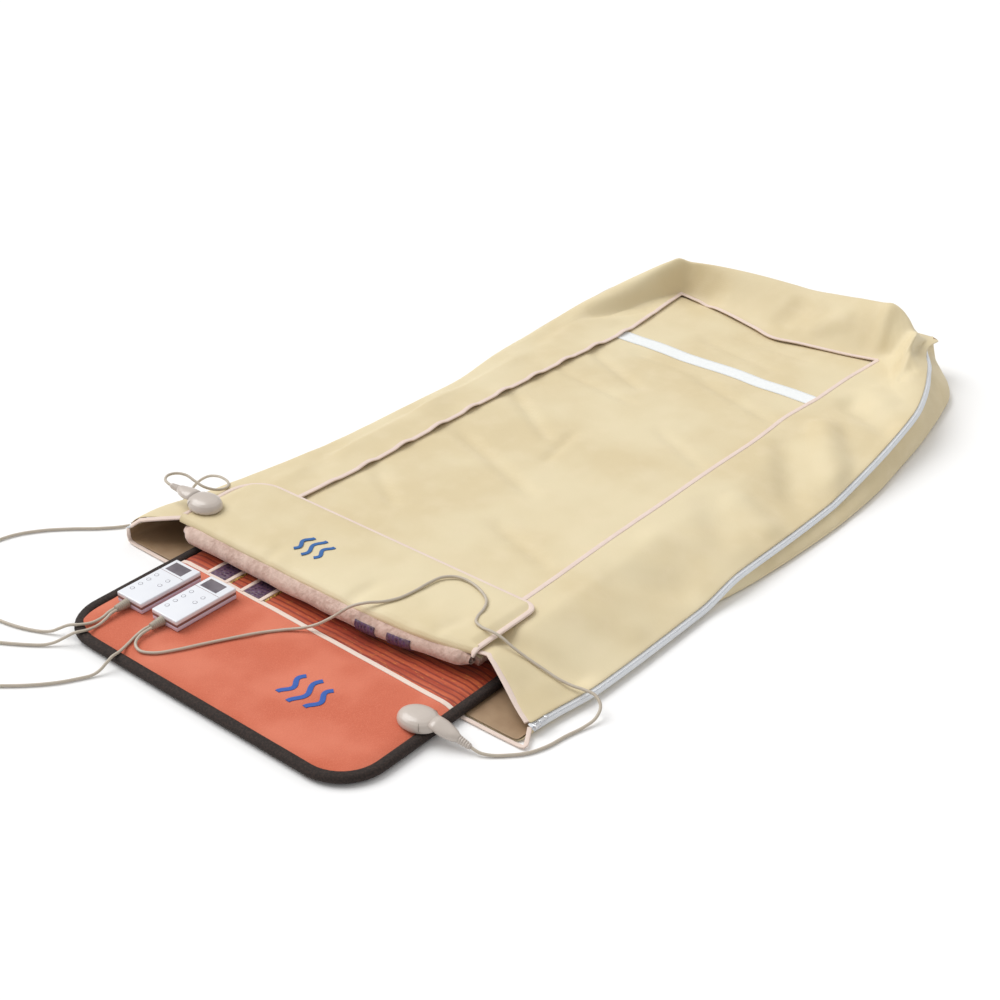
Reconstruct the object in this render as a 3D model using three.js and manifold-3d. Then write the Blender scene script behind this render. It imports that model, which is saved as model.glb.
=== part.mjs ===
// Infrared sauna blanket: a zipped fabric bag that holds two heated stone mats, with a pod, a
// lead and a hand controller for each mat.
// Millimetres, +Z up. X runs across the blanket, +Y from the head end to the foot end. The origin
// is on the floor, under the middle of the bag's base.
import * as THREE from 'three';
import { mergeVertices } from 'three/addons/utils/BufferGeometryUtils.js';
import Module from 'manifold-3d';

const wasm = await Module();
wasm.setup();

// ---------------------------------------------------------------- driving dimensions
const GAP = 0.3; // clearance between pieces that touch

// bag
const BAG_HALF = 478; // half width at the zips
const BAG_FRONT = -730; // lower edge of the mouth
const BAG_BACK = 925; // foot end
const BAG_CORNER = 150; // plan radius of the foot corners
const BASE_THICK = 1.2;
const LINING_THICK = 1.0;
const LINING_INSET = 6;
const FLOOR_CORNER = 10; // plan radius of the base at the mouth
const GUSSET_THICK = 2.5;
const GUSSET_OUT = 4; // from the zip line out to the wall's inner face
const BORDER_THICK = 2.5;
const FLAT_LEFT = -362; // the top lies level between these two
const FLAT_RIGHT = 335;
const FLAT_FOOT = 300; // half length of the ridge
const LEVEL = 64; // top of the level part
const RIDGE = 145; // top of the foot ridge
const FOLD_Y = BAG_BACK - 140; // where the top starts to rise to the ridge
const RIDGE_Y = BAG_BACK - 40;
const MOUTH_MID = -643; // front edge of the top over the mats
const MOUTH_SET = 2; // walls and lining start this far behind the base's front edge
const ZIP_LEFT = 30; // zip heights
const ZIP_HEAD = 14;
const ZIP_SIDE = 32;
const ZIP_FOOT = 84;
const ZIP_STEP = [-250, -120]; // the right zip climbs between these
const ZIP_RISE = [BAG_BACK - 725, BAG_BACK - 285]; // and climbs again towards the foot
const WINDOW_LEFT = -275;
const WINDOW_RIGHT = 280;
const WINDOW_FRONT = -495;

// zips
const TAPE_THICK = 1.6;
const TAPE_TALL = 12;
const SLIDER = { across: 6, along: 18, tall: 11 };
const PULL = { across: 1.6, along: 24, tall: 8 };
const SLIDER_Y = -712;

// mats
const MAT_HALF = 355;
const MAT_FRONT = -1000;
const MAT_BACK = BAG_BACK - 70;
const MAT_CORNER = 90;
const BINDING_WIDE = 14;
const BINDING_HIGH = 15.7;
const APRON_BACK = -714; // the plush apron ends and the stone field starts
const COVER_THICK = 1.2;
const FELT_THICK = 5.7;
const HEAT_THICK = 1.0;
const STONE_THICK = 6.4;

const UPPER_LEFT = -358;
const UPPER_RIGHT = 316;
const UPPER_BACK = FOLD_Y - 10;
const UPPER_CORNER = 40;
const UPPER_TALL = 22.5;
const UPPER_SLACK = 1; // between the mat and the top of the bag
const ROLL = { deep: 34, gap: 2, short: 8, nose: 12, heel: 4 }; // padded head edge of the upper mat
const FLAP = { left: -385, right: 312, front: -676, back: -490, thick: 10, lift: 4, corner: 62, nose: 14 };

// pods
const POD = { half: 30, stretch: 1.25, rim: 7, waist: 15, crown: 21, bevel: [4, 13], tall: 23, socket: 12, trim: 1.5 };
const POD_MOUTH = POD.half * POD.stretch - POD.trim; // face that the plug goes into
const PLUG = { wide: 34, tall: 17, body: 38, relief: 24, tip: 4.6, insert: 8 };
const POD_RIGHT = { x: 325, y: -803, yaw: 8, droop: 18 };
const POD_LEFT = { x: -366, y: -634, yaw: 177.3, droop: 4 };

// controllers
const CTRL = { wide: 65, long: 137, tall: 22, split: 10, wall: 2, corner: 8 };
const CTRL_PLACES = [
  { name: 'ctrl_1', x: -282, y: -820 },
  { name: 'ctrl_2', x: -193, y: -816 },
];
const DISPLAY = { x: -3.3, y: 47.5, wide: 42, long: 27, thick: 1.5 };
const KEY = { radius: 4.6, clearance: 0.4, tall: 4.8, proud: 0.3 };
const KEY_PLACES = [[-19.5, 10.7], [-19.5, -7.5], [-19.5, -26], [-19.5, -44.4], [11.4, 10.2], [11.4, -8]];
const BOARD = { side: 4, end: 12.5, thick: 1.6, height: 12 }; // side and end are its clearances
const RELIEF = { x: -5, lift: 0.2, long: 26, root: 9, tip: 6.6, ribs: 5, groove: 0.9 };

// cords
const CORD = 5.4; // diameter
const COIL_MEAN = 32;
const COIL_SLOTS = 3; // turns beside and on each other
const COIL_1 = [-520, -1110];
const COIL_2 = [-400, -1190];
const MAINS = { wide: 26, tall: 18, body: 36, relief: 26, tip: 4.4, blade: [6.4, 17, 1.5], pitch: 12.7 };

const CREAM = 0xe6d7ac;
const BEIGE = 0xa38c6c;
const CORD_GREY = 0xb5aa9c;

// ---------------------------------------------------------------- helpers
const assembly = new THREE.Group();
const radians = THREE.MathUtils.degToRad;
const clamp01 = (t) => Math.min(1, Math.max(0, t));
const mix = (a, b, t) => a + (b - a) * t;
const smooth = (t) => clamp01(t) ** 2 * (3 - 2 * clamp01(t));

function add(name, geometry, color, roughness = 0.8, metalness = 0, parent = assembly) {
  const mesh = new THREE.Mesh(geometry, new THREE.MeshStandardMaterial({ color, roughness, metalness }));
  mesh.name = name;
  parent.add(mesh);
  return mesh;
}

// A closed mesh as a solid for a boolean, and back.
function solid(geometry) {
  const g = geometry.clone();
  g.deleteAttribute('normal');
  g.deleteAttribute('uv');
  const m = mergeVertices(g, 1e-4);
  const triVerts = new Uint32Array(m.index.array);
  const vertProperties = new Float32Array(m.attributes.position.array);
  return new wasm.Manifold(new wasm.Mesh({ numProp: 3, vertProperties, triVerts }));
}

function shell(manifold) {
  const m = manifold.getMesh();
  const g = new THREE.BufferGeometry();
  g.setAttribute('position', new THREE.BufferAttribute(new Float32Array(m.vertProperties), 3));
  g.setIndex(new THREE.BufferAttribute(new Uint32Array(m.triVerts), 1));
  g.computeVertexNormals();
  return g;
}

// Outline of a rectangle whose front and back corners have their own radii.
function roundedRect(x0, x1, y0, y1, front, back) {
  const s = new THREE.Shape();
  s.moveTo(x0 + front, y0);
  s.lineTo(x1 - front, y0);
  if (front > 0) s.absarc(x1 - front, y0 + front, front, -Math.PI / 2, 0, false);
  s.lineTo(x1, y1 - back);
  if (back > 0) s.absarc(x1 - back, y1 - back, back, 0, Math.PI / 2, false);
  s.lineTo(x0 + back, y1);
  if (back > 0) s.absarc(x0 + back, y1 - back, back, Math.PI / 2, Math.PI, false);
  s.lineTo(x0, y0 + front);
  if (front > 0) s.absarc(x0 + front, y0 + front, front, Math.PI, Math.PI * 1.5, false);
  return s;
}

// A level sheet between two heights.
function plate(outline, z0, z1, curveSegments = 6) {
  const g = new THREE.ExtrudeGeometry(outline, { depth: z1 - z0, bevelEnabled: false, curveSegments });
  return g.translate(0, 0, z0);
}

// A sheet that follows a surface: place(u, v) gives the plan point of each grid node.
function sheet(columns, rows, place, under, over) {
  const g = new THREE.BoxGeometry(1, 1, 1, columns.length - 1, rows.length - 1, 1);
  const p = g.attributes.position;
  for (let i = 0; i < p.count; i++) {
    const u = columns[Math.round((p.getX(i) + 0.5) * (columns.length - 1))];
    const v = rows[Math.round((p.getY(i) + 0.5) * (rows.length - 1))];
    const [x, y] = place(u, v);
    p.setXYZ(i, x, y, p.getZ(i) > 0 ? over(x, y) : under(x, y));
  }
  return g;
}

// A standing strip along a plan path, offset outwards, between two heights.
function strip(path, offset, thick, under, over) {
  const n = path.length - 1;
  const g = new THREE.BoxGeometry(1, 1, 1, n, 1, 1);
  const p = g.attributes.position;
  for (let i = 0; i < p.count; i++) {
    const k = Math.round((p.getX(i) + 0.5) * n);
    const ahead = path[Math.min(k + 1, n)].clone().sub(path[Math.max(k - 1, 0)]).normalize();
    const out = new THREE.Vector2(ahead.y, -ahead.x);
    const side = p.getY(i) > 0 ? offset : offset + thick;
    const at = path[k].clone().addScaledVector(out, side);
    const z = p.getZ(i) > 0 ? over(path[k]) : under(path[k]);
    p.setXYZ(i, at.x, at.y, z);
  }
  return g;
}

// ---------------------------------------------------------------- bag surfaces
function bagHalf(y) {
  const into = Math.max(0, y - (BAG_BACK - BAG_CORNER));
  return BAG_HALF - BAG_CORNER + Math.sqrt(Math.max(0, BAG_CORNER ** 2 - into ** 2));
}

function rightZip(y) {
  const side = mix(ZIP_HEAD, ZIP_SIDE, smooth((y - ZIP_STEP[0]) / (ZIP_STEP[1] - ZIP_STEP[0])));
  return mix(side, ZIP_FOOT, smooth((y - ZIP_RISE[0]) / (ZIP_RISE[1] - ZIP_RISE[0])));
}

// Height of the zip line: level on the left, climbing on the right, rising across the foot.
function zipHeight(x, y) {
  const across = smooth((x + BAG_HALF - BAG_CORNER) / (2 * (BAG_HALF - BAG_CORNER)));
  return mix(ZIP_LEFT, rightZip(y), y > BAG_BACK - BAG_CORNER ? across : x > 0 ? 1 : 0);
}

function topHeight(x, y) {
  const rise = smooth((y - FOLD_Y) / (RIDGE_Y - FOLD_Y));
  const drop = clamp01((y - RIDGE_Y) / (BAG_BACK - RIDGE_Y));
  const inner = mix(mix(LEVEL, RIDGE, rise), zipHeight(x, y) + BORDER_THICK + GAP, drop);
  const level = mix(x < 0 ? -FLAT_LEFT : FLAT_RIGHT, FLAT_FOOT, rise);
  const out = clamp01((Math.abs(x) - level) / (bagHalf(y) - level));
  return mix(inner, zipHeight(x, y) + BORDER_THICK + 2 * GAP, out);
}

const topUnder = (x, y) => topHeight(x, y) - BORDER_THICK;

function mouthEdge(x) {
  const level = x < 0 ? -FLAT_LEFT : FLAT_RIGHT;
  return mix(MOUTH_MID, BAG_FRONT + MOUTH_SET, clamp01((Math.abs(x) - level) / (BAG_HALF - level)));
}

// Rows across the bag where the zip or the top changes height, between two ends.
function heightRows(from, to, extra = []) {
  const climbs = [ZIP_STEP, ZIP_RISE].flatMap(([a, b]) => [a, (a + b) / 2, b]);
  const rows = [...extra, ...climbs, (ZIP_STEP[1] + ZIP_RISE[0]) / 2].filter((y) => y > from && y < to);
  return [from, ...rows.sort((a, b) => a - b), to];
}

// Plan path of the zip line: one side from the mouth to the start of the corner, or the foot.
function sidePath(side, from, to) {
  const rows = heightRows(from, to);
  return rows.map((y) => new THREE.Vector2(side * BAG_HALF, y));
}

function footPath(steps = 6) {
  const path = [];
  for (const side of [1, -1]) {
    const corner = [];
    for (let i = 0; i <= steps; i++) {
      const a = (i / steps) * (Math.PI / 2);
      const x = BAG_HALF - BAG_CORNER + BAG_CORNER * Math.cos(a);
      corner.push(new THREE.Vector2(side * x, BAG_BACK - BAG_CORNER + BAG_CORNER * Math.sin(a)));
    }
    path.push(...(side > 0 ? corner : corner.reverse()));
  }
  return path;
}

// ---------------------------------------------------------------- base of the bag
const liningTop = BASE_THICK + GAP + LINING_THICK;
const wallOut = GUSSET_OUT + GUSSET_THICK;
const baseHalf = BAG_HALF + wallOut;
const baseOutline = roundedRect(
  -baseHalf, baseHalf, BAG_FRONT, BAG_BACK + wallOut, FLOOR_CORNER, BAG_CORNER + wallOut,
);
add('base_panel', plate(baseOutline, 0, BASE_THICK), CREAM);

const liningHalf = BAG_HALF - LINING_INSET;
const liningOutline = roundedRect(
  -liningHalf, liningHalf, BAG_FRONT + MOUTH_SET, BAG_BACK - LINING_INSET,
  FLOOR_CORNER, BAG_CORNER - LINING_INSET,
);
add('base_lining', plate(liningOutline, BASE_THICK + GAP, liningTop), BEIGE);

const wallFoot = () => BASE_THICK + GAP;
const wallTop = (p) => zipHeight(p.x, p.y);
const cornerStart = BAG_BACK - BAG_CORNER;
const sideEnd = cornerStart - GAP;
const leftPath = sidePath(-1, BAG_FRONT + MOUTH_SET, sideEnd).reverse();
const rightPath = sidePath(1, BAG_FRONT + MOUTH_SET, sideEnd);
add('gusset_left', strip(leftPath, GUSSET_OUT, GUSSET_THICK, wallFoot, wallTop), CREAM);
add('gusset_right', strip(rightPath, GUSSET_OUT, GUSSET_THICK, wallFoot, wallTop), CREAM);
add('gusset_foot', strip(footPath(), GUSSET_OUT, GUSSET_THICK, wallFoot, wallTop), CREAM);

// ---------------------------------------------------------------- zips
const tapeOut = wallOut + GAP;
const tapeUnder = (p) => zipHeight(p.x, p.y) - TAPE_TALL + 1;
const tapeOver = (p) => zipHeight(p.x, p.y) + 1;
add('zip_tape_left', strip(leftPath, tapeOut, TAPE_THICK, tapeUnder, tapeOver), 0xeef2f6, 0.6);
add('zip_tape_right', strip(rightPath, tapeOut, TAPE_THICK, tapeUnder, tapeOver), 0xeef2f6, 0.6);

function zipSlider(name, side, height) {
  const body = new THREE.BoxGeometry(SLIDER.across, SLIDER.along, SLIDER.tall);
  const pull = new THREE.BoxGeometry(PULL.across, PULL.along, PULL.tall);
  pull.translate(side * (SLIDER.across / 2 - PULL.across / 2), SLIDER.along / 2 + PULL.along / 2 - 2, 0);
  const mesh = add(name, shell(solid(body).add(solid(pull))), 0xd8dade, 0.35, 0.9);
  const x = side * (BAG_HALF + tapeOut + TAPE_THICK + GAP + SLIDER.across / 2);
  mesh.position.set(x, SLIDER_Y, height + 1 - TAPE_TALL / 2);
}
zipSlider('zip_slider_left', -1, ZIP_LEFT);
zipSlider('zip_slider_right', 1, ZIP_HEAD);

// ---------------------------------------------------------------- top of the bag
const sideRows = heightRows(MOUTH_MID, FOLD_Y - GAP, [-560, WINDOW_FRONT, -380, cornerStart]);

// One side's border, from the zip to the window. One column follows the edge of the level part,
// and the first row is the mouth, which runs out and down to the ends of the zips.
function border(name, zip, level, inner) {
  const turns = [zip, (zip + level) / 2, level, (level + inner) / 2, inner];
  const shares = turns.map((x) => (x - zip) / (inner - zip));
  const columns = zip < 0 ? shares : shares.map((u) => 1 - u).reverse();
  const place = (u, v) => {
    const outer = Math.sign(zip) * bagHalf(v);
    const x = zip < 0 ? mix(outer, inner, u) : mix(inner, outer, u);
    return [x, v === MOUTH_MID ? mouthEdge(x) : v];
  };
  add(name, sheet(columns, sideRows, place, topUnder, topHeight), CREAM);
}
border('border_left', -BAG_HALF, FLAT_LEFT, WINDOW_LEFT);
border('border_right', BAG_HALF, FLAT_RIGHT, WINDOW_RIGHT);
const headOutline = roundedRect(WINDOW_LEFT + GAP, WINDOW_RIGHT - GAP, MOUTH_MID, WINDOW_FRONT, 0, 0);
add('border_head', plate(headOutline, LEVEL - BORDER_THICK, LEVEL), CREAM);

const footColumns = [0, 0.08, 0.17, 0.3, 0.5, 0.7, 0.83, 0.92, 1];
const footPlace = (u, v) => [mix(-bagHalf(v), bagHalf(v), u), v];
const slopeRows = [0, 0.25, 0.5, 0.75, 1].map((t) => mix(FOLD_Y, RIDGE_Y, t));
const backRows = [0, 0.5, 1].map((t) => mix(RIDGE_Y + GAP, BAG_BACK, t));
add('foot_slope', sheet(footColumns, slopeRows, footPlace, topUnder, topHeight), CREAM);
add('foot_back', sheet(footColumns, backRows, footPlace, topUnder, topHeight), CREAM);

// ---------------------------------------------------------------- lower mat
// Layers stack up from the given height; each is [name, thickness, color].
function stack(outline, z, layers) {
  for (const [name, thick, color] of layers) {
    add(name, plate(outline, z, z + thick), color);
    z += thick + GAP;
  }
  return z;
}
const matFoot = liningTop + GAP;
const inHalf = MAT_HALF - BINDING_WIDE - GAP;
const inFront = MAT_FRONT + BINDING_WIDE + GAP;
const inBack = MAT_BACK - BINDING_WIDE - GAP;
const inCorner = MAT_CORNER - BINDING_WIDE;
const matCore = roundedRect(-inHalf, inHalf, inFront, inBack, inCorner, inCorner);
const lowerFace = stack(matCore, matFoot, [
  ['lower_back_cover', COVER_THICK, 0x4a3a34],
  ['lower_insulation', FELT_THICK, 0xd8d4cc],
  ['lower_heating_layer', HEAT_THICK, 0x2c2c30],
]);
const apronOutline = roundedRect(-inHalf, inHalf, inFront, APRON_BACK - GAP, inCorner, 0);
const fieldOutline = roundedRect(-inHalf, inHalf, APRON_BACK, inBack, 0, inCorner);
add('lower_plush_apron', plate(apronOutline, lowerFace, lowerFace + STONE_THICK), 0xe8704e, 0.95);
add('lower_stone_field', plate(fieldOutline, lowerFace, lowerFace + STONE_THICK), 0xc4502a, 0.55);
const bindingOutline = roundedRect(-MAT_HALF, MAT_HALF, MAT_FRONT, MAT_BACK, MAT_CORNER, MAT_CORNER);
bindingOutline.holes.push(
  roundedRect(
    -MAT_HALF + BINDING_WIDE, MAT_HALF - BINDING_WIDE, MAT_FRONT + BINDING_WIDE, MAT_BACK - BINDING_WIDE,
    inCorner, inCorner,
  ),
);
add('lower_binding', plate(bindingOutline, matFoot, matFoot + BINDING_HIGH), 0x33221f, 0.9);
const matTop = matFoot + BINDING_HIGH;

// ---------------------------------------------------------------- upper mat
const upperOutline = roundedRect(UPPER_LEFT, UPPER_RIGHT, MOUTH_MID, UPPER_BACK, 6, UPPER_CORNER);
const upperFoot = LEVEL - BORDER_THICK - UPPER_SLACK - UPPER_TALL;
const upperStone = UPPER_TALL - COVER_THICK - FELT_THICK - HEAT_THICK - 3 * GAP;
stack(upperOutline, upperFoot, [
  ['upper_stone_face', upperStone, 0xd9b8ac],
  ['upper_heating_layer', HEAT_THICK, 0x2c2c30],
  ['upper_insulation', FELT_THICK, 0xd8d4cc],
  ['upper_back_cover', COVER_THICK, 0xeadfbd],
]);
const flapFoot = LEVEL + FLAP.lift;
const rollBack = MOUTH_MID - ROLL.gap;
const rollOutline = roundedRect(
  UPPER_LEFT, UPPER_RIGHT - ROLL.short, rollBack - ROLL.deep, rollBack, ROLL.nose, ROLL.heel,
);
add('upper_front_edge', plate(rollOutline, upperFoot, flapFoot - GAP), 0xd9b8ac, 0.95);
const flapOutline = roundedRect(FLAP.left, FLAP.right, FLAP.front, FLAP.back, FLAP.nose, FLAP.corner);
add('flap_panel', plate(flapOutline, flapFoot, flapFoot + FLAP.thick), CREAM);
const flapTop = flapFoot + FLAP.thick;

// ---------------------------------------------------------------- pods and their plugs
// Local frame: +X points out along the plug, z = 0 is the pod's foot.
function pod(name, place, foot) {
  const group = new THREE.Group();
  group.position.set(place.x, place.y, foot);
  group.rotation.z = radians(place.yaw);
  assembly.add(group);

  const half = POD.half;
  const cheek = [[half, POD.rim], [half - POD.bevel[0], POD.waist], [half - POD.bevel[1], POD.crown]];
  const profile = [[0, 0], [half, 0], ...cheek, [0, POD.tall]];
  const dome = new THREE.LatheGeometry(profile.map(([x, y]) => new THREE.Vector2(x, y)), 28);
  dome.rotateX(Math.PI / 2).scale(POD.stretch, 1, 1);
  const socket = new THREE.BoxGeometry(PLUG.insert + GAP + 20, PLUG.wide - 6, PLUG.tall - 6);
  socket.translate(POD_MOUTH - PLUG.insert - GAP + (PLUG.insert + GAP + 20) / 2, 0, POD.socket);
  const face = new THREE.BoxGeometry(20, 4 * half, 4 * POD.tall).translate(POD_MOUTH + 10 - GAP, 0, 0);
  const hollow = solid(dome).subtract(solid(face)).subtract(solid(socket));
  add(`${name}_shell`, shell(hollow), 0xb9afa6, 0.4, 0, group);

  // the plug's tongue sits level in the socket and its body droops behind it
  const tongue = new THREE.BoxGeometry(PLUG.insert + 6, PLUG.wide - 8, PLUG.tall - 8);
  tongue.translate(POD_MOUTH + 3 - PLUG.insert / 2, 0, POD.socket);
  const taper = [[PLUG.tip, 0], [PLUG.tip + 1.6, PLUG.relief], [7.5, PLUG.relief + 3]];
  const swell = [[PLUG.wide * 0.4, PLUG.relief + 16], [PLUG.wide / 2, PLUG.relief + 28]];
  const root = [[PLUG.wide / 2 - 1, PLUG.relief + PLUG.body + 1]];
  const outline = [[0, 0], ...taper, ...swell, ...root, [0, PLUG.relief + PLUG.body + 1]];
  const body = new THREE.LatheGeometry(outline.map(([x, y]) => new THREE.Vector2(x, y)), 20);
  body.scale(1, 1, PLUG.tall / PLUG.wide);
  body.rotateZ(Math.PI / 2).translate(PLUG.relief + PLUG.body + 2, 0, 0);
  body.rotateY(radians(place.droop)).translate(POD_MOUTH, 0, POD.socket);
  const keep = new THREE.BoxGeometry(200, 200, 200).translate(POD_MOUTH + 100 + GAP, 0, 0);
  const plug = solid(body).intersect(solid(keep)).add(solid(tongue));
  add(`${name}_plug`, shell(plug), 0xb9afa6, 0.45, 0, group);
}
pod('pod_right', POD_RIGHT, matTop + GAP);
pod('pod_left', POD_LEFT, flapTop + GAP);

// ---------------------------------------------------------------- controllers
function controller({ name, x, y }) {
  const group = new THREE.Group();
  group.position.set(x, y, matTop + GAP);
  assembly.add(group);
  const w = CTRL.wide / 2;
  const l = CTRL.long / 2;
  const t = CTRL.wall;
  const outer = roundedRect(-w, w, -l, l, CTRL.corner, CTRL.corner);
  const inner = roundedRect(-w + t, w - t, -l + t, l - t, CTRL.corner - t, CTRL.corner - t);
  const coverFoot = CTRL.split + GAP;

  const base = solid(plate(outer, 0, CTRL.split)).subtract(solid(plate(inner, t, CTRL.split + 5)));
  add(`${name}_base`, shell(base), 0xdcd6ea, 0.35, 0, group);

  let cover = solid(plate(outer, coverFoot, CTRL.tall));
  cover = cover.subtract(solid(plate(inner, coverFoot - 5, CTRL.tall - t)));
  const seat = new THREE.BoxGeometry(DISPLAY.wide + 2 * GAP, DISPLAY.long + 2 * GAP, 10);
  cover = cover.subtract(solid(seat.translate(DISPLAY.x, DISPLAY.y, CTRL.tall - DISPLAY.thick - GAP + 5)));
  for (const [kx, ky] of KEY_PLACES) {
    const hole = new THREE.CylinderGeometry(KEY.radius + KEY.clearance, KEY.radius + KEY.clearance, 20, 16);
    cover = cover.subtract(solid(hole.rotateX(Math.PI / 2).translate(kx, ky, CTRL.tall)));
  }
  add(`${name}_cover`, shell(cover), 0xeeeef6, 0.3, 0, group);

  const glass = new THREE.BoxGeometry(DISPLAY.wide, DISPLAY.long, DISPLAY.thick);
  glass.translate(DISPLAY.x, DISPLAY.y, CTRL.tall - DISPLAY.thick / 2);
  add(`${name}_display`, glass, 0x6e6470, 0.2, 0, group);

  const boardEdge = [-w + BOARD.side, w - BOARD.side, -l + BOARD.end, l - BOARD.end];
  const board = plate(roundedRect(...boardEdge, 3, 3), BOARD.height, BOARD.height + BOARD.thick);
  add(`${name}_board`, board, 0x2f6b45, 0.5, 0, group);

  KEY_PLACES.forEach(([kx, ky], i) => {
    const key = new THREE.CylinderGeometry(KEY.radius, KEY.radius, KEY.tall, 16).rotateX(Math.PI / 2);
    key.translate(kx, ky, CTRL.tall + KEY.proud - KEY.tall / 2);
    add(`${name}_key_${i + 1}`, key, 0xf2f2f8, 0.4, 0, group);
  });

  const profile = [new THREE.Vector2(0, 0), new THREE.Vector2(RELIEF.root, 0)];
  for (let i = 0; i < RELIEF.ribs; i++) {
    const a = i / RELIEF.ribs;
    const b = (i + 0.5) / RELIEF.ribs;
    const r = mix(RELIEF.root, RELIEF.tip, a);
    profile.push(new THREE.Vector2(r, mix(3, RELIEF.long, a)));
    profile.push(new THREE.Vector2(r, mix(3, RELIEF.long, b) - 1));
    profile.push(new THREE.Vector2(r - RELIEF.groove, mix(3, RELIEF.long, b)));
    profile.push(new THREE.Vector2(r - RELIEF.groove, mix(3, RELIEF.long, b) + 1));
  }
  profile.push(new THREE.Vector2(RELIEF.tip, RELIEF.long), new THREE.Vector2(0, RELIEF.long));
  const boot = new THREE.LatheGeometry(profile, 14).rotateZ(Math.PI);
  boot.translate(RELIEF.x, -l - GAP, RELIEF.root + RELIEF.lift);
  add(`${name}_relief`, boot, CORD_GREY, 0.6, 0, group);
}
CTRL_PLACES.forEach(controller);

// ---------------------------------------------------------------- cords
function cord(name, points) {
  const knots = points.map((p) => new THREE.Vector3(...p));
  const path = new THREE.CatmullRomCurve3(knots, false, 'centripetal');
  const section = new THREE.Shape();
  for (let i = 0; i < 8; i++) {
    const a = (i / 8) * 2 * Math.PI;
    section[i ? 'lineTo' : 'moveTo']((CORD / 2) * Math.cos(a), (CORD / 2) * Math.sin(a));
  }
  const steps = Math.min(80, Math.round(path.getLength() / (2.6 * CORD)));
  const tube = new THREE.ExtrudeGeometry(section, { steps, bevelEnabled: false, extrudePath: path });
  add(name, tube, CORD_GREY);
}

// from the right pod, round the corner of the mouth, over the flap and down to controller 2
cord('lead_right', [
  [421.3, -789.4, 10.9], [436, -786.5, 6.2], [452, -777, 3.5], [473, -758, 3.1], [492, -735, 3.1],
  [505, -703, 3.1], [512, -664, 3.1], [521, -628, 4], [525, -603, 9], [520, -584, 19], [503, -576, 27.5],
  [484, -578, 30], [462, -583, 31], [437, -588, 35.5], [411, -591, 43], [380, -595, 53], [350, -600, 66], [330, -603, 77],
  [313, -605, 81.6], [290, -606, 81.6], [271, -600, 81.5], [262, -584, 81.5], [256, -562, 81.5],
  [243, -540, 81.5], [218, -524, 81.5], [183, -514, 81.5], [156, -517, 81.5], [138, -533, 81.5],
  [132, -560, 81.5], [130, -595, 81.5], [124, -630, 81.5], [110, -656, 81.5], [92, -676, 82],
  [72, -694, 75], [46, -712, 52], [22, -728, 34], [0, -743, 24.5], [-24, -765, 21.7], [-52, -802, 21.7],
  [-78, -846, 21.7], [-100, -885, 21.7], [-120, -922, 21.7], [-140, -950, 21.7], [-163, -963, 22.2],
  [-184, -956, 23.5], [-194, -938, 26], [-194.8, -923, 27.6], [-194.8, -911.3, 28],
]);

// from controller 1, out to the left, round behind the mouth and up to the left pod
cord('lead_left', [
  [-290.2, -915.3, 28], [-290.2, -927, 27.4], [-290, -943, 23.5], [-294, -963, 21.7], [-305, -979, 21.7],
  [-319, -991, 21], [-333, -1001, 13.5], [-346, -1010, 6.2], [-364, -1020, 3.2], [-400, -1035, 3.1],
  [-450, -1046, 3.1], [-510, -1048, 3.1], [-570, -1036, 3.1], [-625, -1006, 3.1], [-662, -960, 3.1],
  [-676, -908, 3.1], [-668, -858, 3.1], [-640, -812, 3.1], [-602, -772, 3.1], [-562, -736, 3.1],
  [-530, -698, 3.1], [-512, -652, 3.1], [-510, -604, 3.1], [-518, -566, 4], [-527, -540, 11],
  [-524, -520, 25], [-508, -508, 38], [-484, -504, 46], [-456, -508, 51], [-431, -520, 56],
  [-414, -540, 61], [-414, -564, 67], [-430, -581, 75], [-452, -585, 82], [-474, -586, 87],
  [-491, -595, 89], [-498, -610, 89], [-491, -624, 88], [-478, -628.8, 86.9], [-466.2, -629.3, 85.9],
]);

cord('mains_lead_1', [
  [-283.8, -915.3, 28], [-283.6, -927, 27.4], [-281, -943, 23.5], [-279, -962, 21.7], [-282, -981, 21.7],
  [-292, -1000, 21.6], [-303, -1015, 14], [-313, -1027, 7], [-326, -1041, 3.4], [-352, -1061, 3.1],
  [-396, -1088.6, 3.1], [-446.3, -1117.6, 3.1], [-498.1, -1147.5, 3.1],
]);

cord('mains_lead_2', [
  [-201.2, -911.3, 28], [-201.8, -924, 27.3], [-202, -940, 23.4], [-196, -962, 21.7], [-189, -986, 21.7],
  [-187, -1003, 22], [-187, -1016, 16], [-188, -1029, 8.5], [-192, -1043, 3.8], [-203, -1064, 3.1],
  [-222, -1094, 3.1], [-252, -1128, 3.1], [-290, -1162, 3.1], [-330, -1196.5, 3.1], [-378.1, -1227.5, 3.1],
]);

function coil(name, [x, y]) {
  const half = (COIL_SLOTS * CORD) / 2 + GAP / 2;
  const tall = COIL_SLOTS * CORD;
  const r0 = COIL_MEAN - half;
  const r1 = COIL_MEAN + half;
  const ring = [[r0, 2], [r0 + 2, 0], [r1 - 2, 0], [r1, 2], [r1, tall - 2], [r1 - 2, tall], [r0 + 2, tall]];
  const profile = [...ring, [r0, tall - 2], [r0, 2]].map(([px, py]) => new THREE.Vector2(px, py));
  add(name, new THREE.LatheGeometry(profile, 28).rotateX(Math.PI / 2).translate(x, y, 0.05), CORD_GREY);
}
coil('mains_coil_1', COIL_1);
coil('mains_coil_2', COIL_2);

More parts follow.
